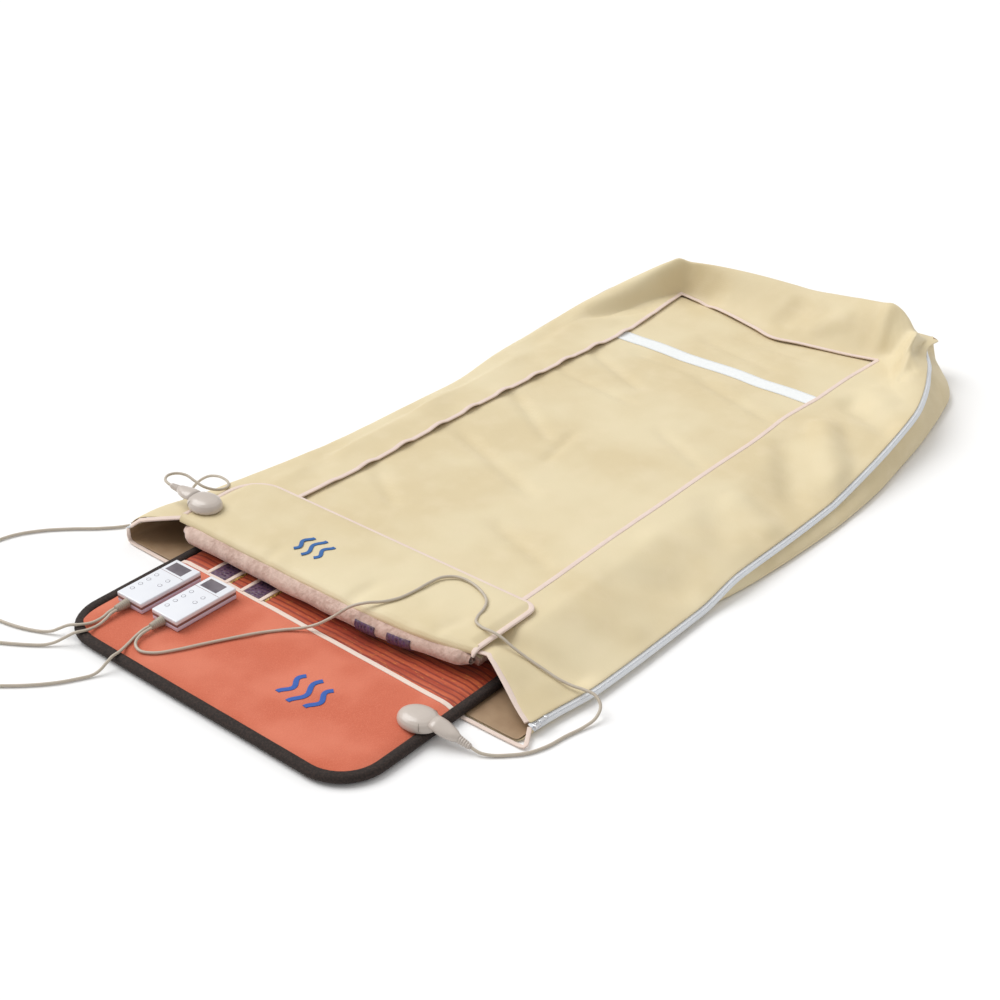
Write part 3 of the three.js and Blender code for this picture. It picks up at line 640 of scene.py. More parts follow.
cover_cloth, graph = finish("cover_cloth", Roughness=0.62, Sheen_Weight=0.12, Sheen_Roughness=0.5)
weave = graph.stripes(0.0026, "X") * graph.stripes(0.0026, "Y") + graph.grain(900, 2) * 0.5
broad = graph.grain(5, 2).steps(0.35, 0.7)
tone = broad.blend((0.695, 0.575, 0.345), (0.760, 0.655, 0.425))
tone = (graph.grain(26, 3).steps(0.4, 0.8) * 0.35).blend(tone, (0.79, 0.67, 0.45))
graph.wire(
    Base_Color=tone,
    Roughness=graph.grain(120, 3) * 0.2 + 0.5,
    Normal=(weave + graph.grain(45, 3) * 2.5 + graph.grain(12, 3) * 9).raised(0.00022, 0.6),
)
lining_cloth, graph = finish("lining_cloth", Roughness=0.55)
tone = graph.grain(14, 3).steps(0.3, 0.7).blend((0.30, 0.19, 0.105), (0.40, 0.27, 0.16))
graph.wire(
    Base_Color=tone,
    Roughness=graph.grain(90) * 0.25 + 0.42,
    Normal=(graph.grain(34, 4) + graph.stripes(0.002, "X") * 0.1).raised(0.0012, 0.6),
)

base_cover = lower_shell("base_cover", 0.0)
base_cover.data.materials.append(cover_cloth)
thickened(base_cover, 0.0022)
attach(base_cover, "bag_base")
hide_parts("base_panel", "gusset_left", "gusset_right", "gusset_foot")

lining = lower_shell("base_lining_cloth", 0.0024)
lining.data.materials.append(lining_cloth)
thickened(lining, 0.001)
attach(lining, "bag_base")
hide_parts("base_lining")

# ---------------------------------------------------------------- zip round the bag
# A white woven tape with a moulded coil down its middle, sewn between the wall and the top all
# round, with a plated slider at each end of the mouth.
zip_tape_cloth, graph = finish("zip_tape_cloth", Roughness=0.6)
graph.wire(
    Base_Color=graph.grain(60).blend((0.88, 0.91, 0.95), (0.95, 0.97, 1.0)),
    Normal=(graph.stripes(0.0015, "Y") + graph.grain(700, 2)).raised(0.0002, 0.6),
)
coil_plastic, graph = finish("zip_coil_plastic", Roughness=0.35)
teeth = graph.stripes(0.0028, "Y").steps(0.25, 0.7)
graph.wire(
    Base_Color=teeth.blend((0.70, 0.74, 0.80), (0.95, 0.97, 1.0)),
    Normal=teeth.raised(0.0007, 1.0),
)
slider_metal, graph = finish("slider_metal", Metallic=1.0, Base_Color=(0.72, 0.73, 0.75, 1))
graph.wire(Roughness=graph.grain(300, 3) * 0.2 + 0.18)

ZIP_CELLS = 240


def zip_spot(out, rise, u):
    x, y = along(OUTLINE, u)
    ox, oy = outward(x, y)
    return (drawn(x, y) + ox * out, y + oy * out, zip_height(x, y) + rise)


def tape_spot(u, v):
    """The tape leans out from under the edge of the top, over the head of the wall."""
    return zip_spot(mix(0.001, 0.0145, v), mix(0.0035, -0.0040, v), u)


tape = grid_piece("zip_tape", ZIP_CELLS, 2, tape_spot)
tape.data.materials.append(zip_tape_cloth)
thickened(tape, 0.0012, 0)
line = [zip_spot(0.0082, 0.0006, i / ZIP_CELLS) for i in range(ZIP_CELLS + 1)]
teeth_row = swept("zip_teeth", line, 0.0030, sides=2)
teeth_row.data.materials.append(coil_plastic)
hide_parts("zip_tape_left", "zip_tape_right")
for piece in (tape, teeth_row):
    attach(piece, "bag_base")

for side, name, height, y in ((-1, "left", ZIP_LEFT, -0.712), (1, "right", ZIP_HEAD, -0.684)):
    x = drawn(side * BAG_HALF, y) + side * 0.0095
    shell = bevelled("slider", (0.009, 0.013, 0.0062), (x, y, height + 0.0005), 0.0024, 0.0012)
    bridge = bevelled("bridge", (0.003, 0.009, 0.0022), (x, y + 0.001, height + 0.0040), 0.001, 0.0007)
    hung, high = x + side * 0.001, height + 0.0046
    tag = bevelled("tag", (0.0060, 0.020, 0.0012), (hung, y + 0.017, high), 0.002, 0.0004)
    grip = bevelled("grip", (0.0070, 0.006, 0.0020), (hung, y + 0.024, high), 0.002, 0.0006)
    slider = joined(f"slider_body_{name}", shell, bridge, tag, grip)
    slider.data.materials.append(slider_metal)
    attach(slider, f"slider_{name}")
    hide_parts(f"zip_slider_{name}")

# ---------------------------------------------------------------- top of the bag
# One coated cream cloth from zip to zip. It lies level over the mats, slopes to the zips, stands
# up in a ridge over the feet, and has a long window cut out over the upper mat.
WINDOW_FRONT = -0.495
WINDOW_LEFT = [
    (-0.730, -0.275), (-0.474, -0.275), (-0.296, -0.268), (0.040, -0.268), (0.373, -0.258), (0.544, -0.248),
    (0.645, -0.257), (0.831, -0.275), (0.925, -0.275),
]
WINDOW_RIGHT = [
    (-0.730, 0.277), (-0.454, 0.275), (-0.252, 0.271), (-0.060, 0.270), (0.098, 0.269), (0.285, 0.270),
    (0.405, 0.264), (0.519, 0.272), (0.640, 0.272), (0.794, 0.279), (0.925, 0.279),
]
WINDOW_FAR = [
    (-0.480, 0.200), (-0.453, 0.260), (-0.417, 0.380), (-0.340, 0.600), (-0.300, 0.750), (-0.275, 0.815),
    (-0.142, 0.790), (-0.030, 0.757), (0.032, 0.736), (0.092, 0.746), (0.183, 0.761), (0.279, 0.782),
    (0.332, 0.730), (0.400, 0.640), (0.480, 0.560),
]
RIDGE_LINE = [
    (-0.480, 0.400), (-0.453, 0.487), (-0.417, 0.645), (-0.350, 0.770), (-0.298, 0.838), (-0.200, 0.875),
    (0.0, 0.905), (0.139, 0.908), (0.245, 0.898), (0.286, 0.890), (0.332, 0.852), (0.400, 0.776),
    (0.480, 0.680),
]
CREST = [
    (-0.480, 0.040), (-0.453, 0.048), (-0.417, 0.078), (-0.350, 0.118), (-0.302, 0.144), (-0.280, 0.141),
    (-0.200, 0.138), (-0.100, 0.135), (0.035, 0.131), (0.150, 0.140), (0.240, 0.152), (0.262, 0.153),
    (0.290, 0.136), (0.332, 0.130), (0.400, 0.112), (0.445, 0.096), (0.480, 0.088),
]
COLUMNS = [20, 36, 20]
ROWS = [10, 56, 14, 14]
HUNG = 0.86  # the last of the cloth's width falls steeply to the zip from here
FOOT_LEFT, FOOT_RIGHT = 0.425, 0.400  # the level part reaches this far out at the ridge
RIPPLE, RIPPLE_HIGH = 0.105, 0.0045  # waves of the cloth along the left edge of the window


def slice_of(spot, counts):
    """Which stretch of a run of cells a spot falls in, and how far along it."""
    for k, count in enumerate(counts):
        if spot <= count or k == len(counts) - 1:
            return k, spot / count
        spot -= count


def mouth_edge(x):
    """Where the top's front edge lies: straight over the mats, then forward to the zips' ends."""
    level = FLAT_LEFT if x < 0 else FLAT_RIGHT
    corner = MOUTH_LEFT if x < 0 else MOUTH_RIGHT
    return mix(-0.643, corner, min(1, max(0, (abs(x) - level) / (BAG_HALF - level))))


def crease(x, y, a, b, wide, high):
    """A fold of that height along the line from a to b, fading at its ends."""
    run = Vector((b[0] - a[0], b[1] - a[1]))
    off = Vector((x - a[0], y - a[1]))
    t = off.dot(run) / run.length_squared
    gap = (off - run * min(1, max(0, t))).length
    return high * max(0, 1 - (gap / wide) ** 2) ** 2 * smooth(4 * min(t + 0.1, 1.1 - t))


CREASES = [
    ((0.290, -0.585), (0.470, -0.552), 0.032, -0.016),
    ((0.325, -0.640), (0.455, -0.606), 0.026, 0.006),
    ((0.335, 0.440), (0.470, 0.230), 0.046, 0.017),
    ((0.310, 0.330), (0.440, 0.130), 0.042, -0.010),
    ((0.320, 0.560), (0.470, 0.480), 0.045, -0.013),
    ((0.330, 0.640), (0.420, 0.560), 0.050, 0.008),
    ((0.350, 0.060), (0.470, 0.010), 0.045, 0.009),
    ((0.320, 0.020), (0.440, -0.100), 0.045, -0.006),
    ((0.310, -0.180), (0.455, -0.060), 0.050, 0.007),
    ((0.330, -0.330), (0.450, -0.220), 0.050, -0.006),
    ((0.320, -0.460), (0.460, -0.380), 0.045, 0.005),
    ((-0.300, 0.250), (-0.420, 0.420), 0.050, -0.006),
    ((-0.290, 0.560), (-0.400, 0.500), 0.050, 0.006),
    ((-0.300, -0.100), (-0.420, 0.050), 0.060, 0.006),
    ((-0.300, -0.420), (-0.430, -0.260), 0.050, -0.005),
    ((-0.280, 0.700), (-0.380, 0.560), 0.040, -0.008),
    ((-0.279, 0.812), (-0.300, 0.840), 0.014, 0.008),
    ((-0.200, 0.800), (-0.170, 0.850), 0.040, -0.005),
    ((0.020, 0.780), (0.050, 0.860), 0.045, -0.009),
    ((0.090, 0.790), (0.170, 0.850), 0.035, 0.008),
    ((0.262, 0.800), (0.240, 0.895), 0.018, 0.012),
    ((0.300, 0.800), (0.318, 0.880), 0.026, -0.016),
    ((0.350, 0.740), (0.372, 0.830), 0.028, 0.012),
    ((0.395, 0.690), (0.430, 0.740), 0.026, -0.010),
]


def top_height(x, y):
    """The top's height over a plan point: level, then the ridge, the drop, the hem and the folds."""
    far, ridge = read(WINDOW_FAR, x), read(RIDGE_LINE, x)
    rise = smooth((y - far) / (ridge - far))
    drop = min(1, max(0, (y - ridge) / (BAG_BACK - ridge)))
    seam = zip_height(x, y)
    fallen = drop + 0.25 * sin(pi * drop)
    inner = mix(mix(LEVEL, read(CREST, x), rise), seam + 0.003, fallen)
    flat, foot = (FLAT_LEFT, FOOT_LEFT) if x < 0 else (FLAT_RIGHT, FOOT_RIGHT)
    level = min(mix(flat, foot, rise * (1 - drop)), bag_half(y) - 0.02)
    out = min(1, max(0, (abs(x) - level) / (bag_half(y) - level)))
    eased = out * 0.72 + 0.28 * smooth(out)
    hung = mix(out * 0.55, 1, max(0, passed((HUNG, 1), out)) ** 1.6)
    eased = hung if x < 0 else mix(eased, hung, smooth((y - 0.70) / 0.06))
    height = mix(inner, seam + 0.0045, eased)
    free = min(1, 6 * (1 - out)) * smooth((y + 0.735) / 0.09)
    height += sum(crease(x, y, *fold) for fold in CREASES) * free
    swell = soft(x, y * 0.6, 0, 0.13, 0.005) + soft(x, y, 3, 0.05, 0.0016)
    height += swell * free * (0.35 + 0.65 * out) * (1 - 0.85 * rise)
    beside = 1 - smooth(abs(x - read(WINDOW_LEFT, y)) / 0.035)
    ripple = max(0, sin(2 * pi * y / RIPPLE + 0.6)) * smooth((0.62 - y) / 0.1) * smooth((y + 0.45) / 0.1)
    return height + RIPPLE_HIGH * beside * ripple


def top_spot(u, v):
    """A point of the top, with its rows and columns fitted to the window, ridge and corners."""
    part, t = slice_of(u * sum(COLUMNS), COLUMNS)
    band, s = slice_of(v * sum(ROWS), ROWS)
    if band == 3:
        s = 1 - (1 - s) ** 1.6
    x = y = 0.0
    for _ in range(3):
        left, right = read(WINDOW_LEFT, y), read(WINDOW_RIGHT, y)
        x = (mix(-BAG_HALF, left, t), mix(left, right, t), mix(right, BAG_HALF, t))[part]
        stops = [mouth_edge(x), WINDOW_FRONT, read(WINDOW_FAR, x), read(RIDGE_LINE, x), BAG_BACK]
        y = mix(stops[band], stops[band + 1], s)
    x *= bag_half(y) / BAG_HALF
    reach = min(1, abs(x) / bag_half(y))
    push = 0.0045 * smooth((reach - 0.85) / 0.1)
    over = 0.009 if x < 0 else 0.016 * smooth((y - 0.70) / 0.06)
    push += over * sin(pi * min(1, max(0, passed((HUNG, 1), reach))))
    edge = 1 if x > 0 else -1
    return (drawn(x, y) + edge * push, y + (0.004 if v > 0.999 else 0), top_height(x, y))


top_cover = grid_piece("top_cover", sum(COLUMNS), sum(ROWS), top_spot)
bpy.ops.object.mode_set(mode="EDIT")
shape = bmesh.from_edit_mesh(top_cover.data)
for face in shape.faces:
    middle = face.calc_center_median()
    inside = read(WINDOW_LEFT, middle.y) < middle.x < read(WINDOW_RIGHT, middle.y)
    face.select_set(inside and WINDOW_FRONT < middle.y < read(WINDOW_FAR, middle.x))
bmesh.update_edit_mesh(top_cover.data)
bpy.ops.mesh.delete(type="FACE")
bpy.ops.object.mode_set(mode="OBJECT")
top_cover.data.materials.append(cover_cloth)
top_cover.data.materials.append(lining_cloth)
thickened(top_cover, 0.0024, under=1)
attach(top_cover, "bag_top")
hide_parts("border_left", "border_right", "border_head", "foot_slope", "foot_back")

# ---------------------------------------------------------------- bindings of the bag
# Pale pink ribbed tape folded over the raw edges of the cloth, round the window and along both
# lips of the mouth.
binding_tape, graph = finish("binding_tape", Roughness=0.7, Sheen_Weight=0.2)
ribs = graph.stripes(0.0022, "X") + graph.stripes(0.0022, "Y")
graph.wire(
    Base_Color=graph.grain(40).blend((0.76, 0.60, 0.52), (0.84, 0.70, 0.62)),
    Normal=(ribs + graph.grain(600, 2)).raised(0.00025, 0.6),
)


def on_top(points, lift):
    """Points on the top cover, that far above it, along a line given in plan."""
    line, _ = route([(x, y, 0) for x, y in points], 0.008)
    return [(drawn(p.x, p.y), p.y, top_height(p.x, p.y) + lift) for p in line]


def bound(name, line, thick, wide, turn, body):
    """A strip of the pink tape along a line, on one of the bodies."""
    band = swept(name, line, thick, wide, radians(turn))
    band.data.materials.append(binding_tape)
    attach(band, body)


left_edge, right_edge = (
    [(read(table, WINDOW_FRONT + i * gap), WINDOW_FRONT + i * gap) for i in range(21)]
    for table, gap in ((WINDOW_LEFT, 0.0655), (WINDOW_RIGHT, 0.0638))
)
far_edge = [(x, y + 0.001) for x, y in WINDOW_FAR[5:-3]]
for name, edge in (("left", left_edge), ("far", far_edge), ("right", right_edge)):
    bound(f"window_binding_{name}", on_top(edge, 0.0006), 0.0036, 0.0105, 90, "bag_top")

for side, name, inner in ((-1, "left", 0.362), (1, "right", 0.314)):
    spots = [mix(inner, BAG_HALF - 0.002, i / 8) for i in range(9)]
    lip = [(side * x, mouth_edge(side * x) + 0.001) for x in spots]
    line = [(drawn(x, y), y, top_height(x, y) - 0.0002) for x, y in lip]
    bound(f"mouth_top_binding_{name}", line, 0.0042, 0.0105, 80, "bag_top")
    low = [(side * 0.20, BAG_FRONT - 0.001, 0.0027), (side * 0.34, BAG_FRONT - 0.002, 0.0027)]
    low += [(side * 0.44, BAG_FRONT - 0.001, 0.0027), (side * 0.468, BAG_FRONT, 0.0028)]
    end = MOUTH_LEFT if side < 0 else MOUTH_RIGHT
    head, lean = zip_height(side, -0.7), side * (abs(drawn(side * BAG_HALF, end)) + 0.005)
    low += [(side * 0.480, BAG_FRONT + 0.001, 0.005)]
    low += [(mix(side * 0.482, lean, 0.5), mix(BAG_FRONT, end, 0.5), 0.5 * head), (lean, end, head - 0.001)]
    line, _ = route(low, 0.006)
    bound(f"mouth_base_binding_{name}", line, 0.0034, 0.0080, 90, "bag_base")

# ---------------------------------------------------------------- lower mat
# A long heated mat, slightly crowned. Its head end is an apron of orange plush; behind a narrow
# ribbon the field is deep orange satin sewn in channels over the stones. Dark binding runs round.
MAT_HALF, MAT_FRONT, MAT_BACK, MAT_CORNER = 0.347, -0.992, 0.847, 0.082
MAT_TOP = 0.0180
CROWN_EDGE = 0.030  # the mat thins towards its binding over this width
CHANNEL = 0.034  # width of a sewn channel of stones
APRON_SHARE = 0.22  # of the mat's rows of cells
RIBBON = [(-0.36, -0.722), (0.36, -0.738)]


def ribbon_y(x):
    (left, at_left), (right, at_right) = RIBBON
    return mix(at_left, at_right, (x - left) / (right - left))


def mat_half(y):
    into = max(0, MAT_FRONT + MAT_CORNER - y, y - (MAT_BACK - MAT_CORNER))
    return MAT_HALF - MAT_CORNER + sqrt(max(0, MAT_CORNER**2 - into**2))


def apron_top(x, y):
    edge = min(MAT_HALF - abs(x), y - MAT_FRONT, MAT_BACK - y)
    z = MAT_TOP - 0.006 * (1 - smooth(edge / CROWN_EDGE))
    if y < ribbon_y(x):
        z += soft(x, y, 7, 0.09, 0.0012) + soft(x, y, 9, 0.028, 0.0004)
        z += crease(x, y, (-0.100, -0.800), (0.080, -0.850), 0.030, -0.0012)
        return z - 0.0008 * smooth((y - ribbon_y(x) + 0.02) / 0.02)
    back = y - ribbon_y(x)
    return z - 0.0026 * (1 - abs(sin(pi * back / CHANNEL)) ** 0.6) + soft(x * 0.5, y, 5, 0.02, 0.0008)


def mat_spot(u, v):
    x = mix(-1, 1, u)
    if v < APRON_SHARE:
        y = mix(MAT_FRONT, ribbon_y(x * MAT_HALF), v / APRON_SHARE)
    else:
        y = mix(ribbon_y(x * MAT_HALF), MAT_BACK, passed((APRON_SHARE, 1), v))
    x *= mat_half(y)
    return (x, y, apron_top(x, y))


PLUSH_SHEEN = {"Sheen_Weight": 0.2, "Sheen_Roughness": 0.6, "Sheen_Tint": (1.0, 0.72, 0.6, 1)}
plush, graph = finish("orange_plush", Roughness=0.95, **PLUSH_SHEEN)
pile = graph.grain(260, 4)
nap = graph.grain(9, 2).steps(0.35, 0.68)
tone = nap.blend((0.60, 0.130, 0.065), (0.70, 0.190, 0.110))
tone = (graph.grain(700, 3).steps(0.45, 0.75) * 0.5).blend(tone, (0.78, 0.235, 0.135))
graph.wire(Base_Color=tone, Normal=(pile + graph.grain(1100, 2) * 0.6).raised(0.0010, 0.7))
satin, graph = finish("deep_satin", Roughness=0.42, Sheen_Weight=0.2)
glint = graph.grain(420, 5, (0.16, 1, 1)).steps(0.60, 0.72)
tone = graph.grain(60, 3, (0.12, 1, 1)).steps(0.3, 0.7).blend((0.40, 0.045, 0.014), (0.60, 0.115, 0.036))
# Painted shade: the dark stripes across the satin stand in for the shaded hollows of its sewn channels.
tone = graph.stripes(0.0115, "Y", bend=1.5).steps(0.02, 0.45).blend((0.27, 0.028, 0.011), tone)
graph.wire(
    Base_Color=(glint * 0.55).blend(tone, (0.78, 0.34, 0.07)),
    Roughness=graph.grain(200) * 0.3 + 0.28,
    Normal=graph.grain(180, 4, (0.2, 1, 1)).raised(0.0014, 0.7),
)
backing, graph = finish("mat_backing", Roughness=0.8)
graph.wire(
    Base_Color=graph.grain(20).blend((0.07, 0.045, 0.038), (0.10, 0.065, 0.055)),
    Normal=(graph.stripes(0.0024, "X") + graph.stripes(0.0024, "Y")).raised(0.0003, 0.6),
)

lower_mat = grid_piece("lower_mat_pad", 64, 200, mat_spot)
for made in (plush, satin, backing):
    lower_mat.data.materials.append(made)
for face in lower_mat.data.polygons:
    face.material_index = 0 if face.center.y < ribbon_y(face.center.x) else 1
thickened(lower_mat, 0.0095, 0, offset=-1, under=2)
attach(lower_mat, "bag_base")
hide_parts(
    "lower_back_cover", "lower_insulation", "lower_heating_layer", "lower_plush_apron", "lower_stone_field",
)

dark_tape, graph = finish("dark_binding_tape", Roughness=0.85)
graph.wire(
    Base_Color=graph.grain(300, 3).steps(0.35, 0.7).blend((0.014, 0.008, 0.006), (0.038, 0.022, 0.017)),
    Normal=(graph.grain(500, 3) + graph.stripes(0.003, "X") * 0.15).raised(0.0008, 0.7),
)
rim = []
RIM_CORNER, RIM_INSET = 0.0795, 0.0105
away = RIM_INSET + RIM_CORNER
across, front, back = 0.355 - away, -1.0 + away, 0.855 - away
for cx, cy, first in ((across, front, -90), (across, back, 0), (-across, back, 90), (-across, front, 180)):
    for i in range(13):
        turn = radians(first + 90 * i / 12)
        rim.append((cx + RIM_CORNER * cos(turn), cy + RIM_CORNER * sin(turn), 0.0107))
ring, _ = route(rim + [rim[0]], 0.012)
for knot in ring:
    knot.z += soft(knot.x, knot.y, 0, 0.05, 0.0004)
rim_band = swept("lower_mat_binding", ring[:-1], 0.0156, 0.021, radians(90), closed=True, sides=5)
rim_band.data.materials.append(dark_tape)
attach(rim_band, "bag_base")
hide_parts("lower_binding")

ribbon_cloth, graph = finish("ribbon_cloth", Roughness=0.6)
graph.wire(
    Base_Color=graph.grain(80).blend((0.80, 0.64, 0.55), (0.88, 0.75, 0.66)),
    Normal=(graph.stripes(0.0016, "X") + graph.grain(500, 2)).raised(0.0002, 0.6),
)
spots = [mix(-0.340, 0.336, i / 60) for i in range(61)]
line = [(x, ribbon_y(x), apron_top(x, ribbon_y(x) - 0.004) + 0.0006) for x in spots]
ribbon = swept("apron_ribbon", line, 0.0020, 0.0095, radians(90))
ribbon.data.materials.append(ribbon_cloth)
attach(ribbon, "bag_base")

# ---------------------------------------------------------------- stone pockets
# Two small windows of dark purple crystal under net, behind the ribbon of the lower mat, with a
# strip of cream cloth along each side and gold thread round them. The head roll has two more.
crystal, graph = finish("crystal_net", Roughness=0.35)
net = graph.stripes(0.0075, "X").steps(0.75, 0.95) + graph.stripes(0.0075, "Y").steps(0.75, 0.95)
lump = graph.make("ShaderNodeTexVoronoi", {}, {"Vector": graph.place(), "Scale": 150.0})
purple = lump.steps(0.1, 0.7).blend((0.030, 0.012, 0.045), (0.12, 0.055, 0.13))
graph.wire(
    Base_Color=net.blend(purple, (0.13, 0.075, 0.10)),
    Roughness=lump * 0.5 + 0.2,
    Normal=lump.raised(0.0015, 0.8),
)
gold_thread, graph = finish("gold_thread", Roughness=0.4, Metallic=0.3)
graph.wire(
    Base_Color=graph.grain(350, 4).steps(0.4, 0.62).blend((0.16, 0.07, 0.02), (0.75, 0.48, 0.12)),
    Normal=graph.grain(420, 4).raised(0.0012, 0.8),
)
for number, (x, y) in enumerate(((-0.240, -0.700), (-0.149, -0.701)), 1):
    pad = bevelled("net", (0.040, 0.046, 0.004), (x, y, 0.0178), 0.004, 0.0015)
    pad.data.materials.append(crystal)
    trim = bevelled("thread", (0.064, 0.054, 0.0026), (x + 0.002, y + 0.006, 0.0170), 0.006, 0.001)
    trim.data.materials.append(gold_thread)
    sides = []
    for s in (-1, 1):
        strip = bevelled("strip", (0.0085, 0.050, 0.0034), (x + s * 0.0245, y - 0.001, 0.0185), 0.002, 0.001)
        strip.data.materials.append(ribbon_cloth)
        sides.append(strip)
    pocket = joined(f"lower_pocket_{number}", trim, pad, *sides)
    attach(pocket, "bag_base")

# ---------------------------------------------------------------- upper mat
# The second heated mat hangs under the top of the bag. Its back is cream cloth that shows, a
# little loose and wrinkled, in the window; its inner face is pale plush over channels of stones.
UPPER = {"left": -0.358, "right": 0.316, "front": -0.643, "back": 0.836}
UPPER_CORNER = 0.02
PANEL_CREASES = [
    ((-0.250, 0.420), (-0.050, 0.330), 0.022, -0.0062),
    ((-0.255, 0.300), (-0.020, 0.260), 0.018, -0.0046),
    ((-0.250, 0.140), (-0.060, 0.020), 0.022, -0.0060),
    ((-0.240, -0.060), (0.060, -0.180), 0.026, -0.0060),
    ((-0.100, 0.640), (0.120, 0.600), 0.020, -0.0064),
    ((-0.050, 0.700), (0.180, 0.690), 0.016, -0.0046),
    ((0.000, 0.460), (0.260, 0.380), 0.024, -0.0062),
    ((0.080, 0.200), (0.250, 0.120), 0.024, -0.0050),
    ((-0.240, -0.300), (-0.120, -0.380), 0.022, -0.0050),
    ((0.060, -0.300), (0.240, -0.360), 0.026, -0.0056),
    ((-0.040, 0.080), (-0.010, -0.060), 0.018, -0.0050),
    ((-0.180, 0.480), (0.060, 0.470), 0.018, -0.0046),
]


def pad_top(x, y):
    z = 0.0592 + soft(x * 0.7, y, 0, 0.16, 0.0026) + soft(x, y * 0.5, 2, 0.05, 0.0010)
    z += sum(crease(x, y, *fold) for fold in PANEL_CREASES)
    hem = min(x - UPPER["left"], UPPER["right"] - x, UPPER["back"] - y)
    return min(0.0618, z) - 0.008 * (1 - smooth(hem / 0.03))


def pad_spot(u, v):
    y = mix(UPPER["front"], UPPER["back"], v)
    into = max(0, y - (UPPER["back"] - UPPER_CORNER))
    trim = UPPER_CORNER - sqrt(max(0, UPPER_CORNER**2 - into**2))
    x = mix(UPPER["left"] + trim, UPPER["right"] - trim, u)
    return (x, y, pad_top(x, y))


pale_plush, graph = finish("pale_plush", Roughness=0.95, Sheen_Weight=0.4, Sheen_Roughness=0.6)
tone = graph.grain(120, 4).steps(0.3, 0.7).blend((0.52, 0.34, 0.27), (0.70, 0.50, 0.42))
tone = (graph.grain(18, 2).steps(0.4, 0.7) * 0.5).blend(tone, (0.78, 0.60, 0.50))
graph.wire(Base_Color=tone, Normal=(graph.grain(240, 4) + graph.grain(30, 3)).raised(0.0022, 0.8))
stone_face, graph = finish("stone_face", Roughness=0.6)
rows = graph.stripes(CHANNEL, "Y").steps(0.08, 0.3)
lump = graph.make("ShaderNodeTexVoronoi", {}, {"Vector": graph.place((1, 1, 0.2)), "Scale": 60.0})
stones = lump.steps(0.1, 0.6).blend((0.70, 0.52, 0.44), (0.58, 0.40, 0.33))
graph.wire(
    Base_Color=rows.blend((0.40, 0.26, 0.21), stones),
    Normal=(rows * 1.2 - lump * 0.6 + graph.grain(250, 3) * 0.2).raised(0.004, 0.8),
)

upper_pad = grid_piece("upper_mat_pad", 70, 150, pad_spot)
upper_pad.data.materials.append(cover_cloth)
upper_pad.data.materials.append(stone_face)
thickened(upper_pad, 0.0175, 0, offset=-1, under=1, rim=1)
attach(upper_pad, "bag_top")
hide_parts("upper_stone_face", "upper_heating_layer", "upper_insulation", "upper_back_cover")

hook_tape, graph = finish("loop_tape", Roughness=0.9, Sheen_Weight=0.3)
graph.wire(
    Base_Color=graph.grain(150, 4).blend((0.80, 0.83, 0.84), (0.93, 0.95, 0.95)),
    Normal=graph.grain(500, 4).raised(0.0008, 0.8),
)


def loop_spot(u, v):
    x = mix(-0.262, 0.290, u)
    y = mix(0.503, 0.545, v) + mix(0.010, -0.006, u) + soft(x, 0, 0, 0.1, 0.004)
    return (x, y, pad_top(x, y) + 0.0008)


loop_tape = grid_piece("loop_tape_strip", 60, 6, loop_spot)
loop_tape.data.materials.append(hook_tape)
thickened(loop_tape, 0.0012, 0)
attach(loop_tape, "bag_top")

# ---------------------------------------------------------------- head edge and flap
# The head end of the upper mat is a fat roll of pale plush. A padded cream flap lies over it and
# over the front of the window, bound in pale pink, and its front rolls down over the plush.
ROLL = [
    (-0.6455, 0.052), (-0.6460, 0.0420), (-0.6530, 0.0320), (-0.6670, 0.0262), (-0.6830, 0.0275),
    (-0.6945, 0.0345), (-0.6985, 0.0445), (-0.6950, 0.0545), (-0.6850, 0.0625), (-0.6640, 0.0655),
    (-0.6455, 0.052),
]
ROLL_SEAM, ROLL_CROWN = -0.6455, 0.0640  # the roll slims towards these at its right end
ROLL_BACK = [(-0.385, 0.0), (0.000, 0.0), (0.150, 0.004), (0.312, 0.014)]
FLAP_LEFT, FLAP_RIGHT, FLAP_BACK = -0.385, 0.312, -0.490
FLAP_EDGE = [(-0.385, -0.682), (0.000, -0.684), (0.120, -0.681), (0.220, -0.672), (0.312, -0.652)]
LEFT_CORNER, RIGHT_CORNER = 0.066, 0.020
FLAP_CREASES = [
    ((0.055, -0.690), (0.060, -0.610), 0.022, -0.0042),
    ((-0.150, -0.690), (-0.155, -0.630), 0.018, -0.0026),
    ((0.120, -0.680), (0.290, -0.570), 0.030, 0.0022),
    ((0.230, -0.660), (0.250, -0.600), 0.018, -0.0024),
]
SECTION = [
    (0.000, 0.0715), (0.008, 0.0738), (0.031, 0.0755), (0.093, 0.0768), (0.258, 0.0778), (0.515, 0.0784),
    (0.722, 0.0782), (0.851, 0.0774), (0.928, 0.0752), (0.975, 0.0712), (0.997, 0.0660), (1.000, 0.0618),
    (0.992, 0.0600), (0.984, 0.0625), (0.960, 0.0662), (0.918, 0.0682), (0.773, 0.0686), (0.515, 0.0686),
    (0.258, 0.0686), (0.077, 0.0688), (0.021, 0.0695), (0.000, 0.0715),
]


def rolled(x, y, z):
    """A point of the roll, moved with its slow waves and kept behind the edge of the flap."""
    slim = smooth((x - 0.10) / 0.2)
    wave = soft(x, 0, 4, 0.06, 0.0018)
    y = mix(ROLL_SEAM, y, mix(1.0, 0.72, slim)) + read(ROLL_BACK, x) * (1 if y < -0.66 else 0.3) + wave
    return (x, y, mix(ROLL_CROWN, z, mix(1.0, 0.86, slim)) + soft(x, z * 3, 8, 0.04, 0.0014))


def roll_spot(u, v):
    x = mix(UPPER["left"] - 0.014, UPPER["right"] - 0.010, u)
    ends = min(1, 0.55 + 0.45 * smooth(min(u, 1 - u) * 30))
    y, z = along(ROLL, v)
    return rolled(x, mix(-0.670, y, ends), mix(0.048, z, ends))


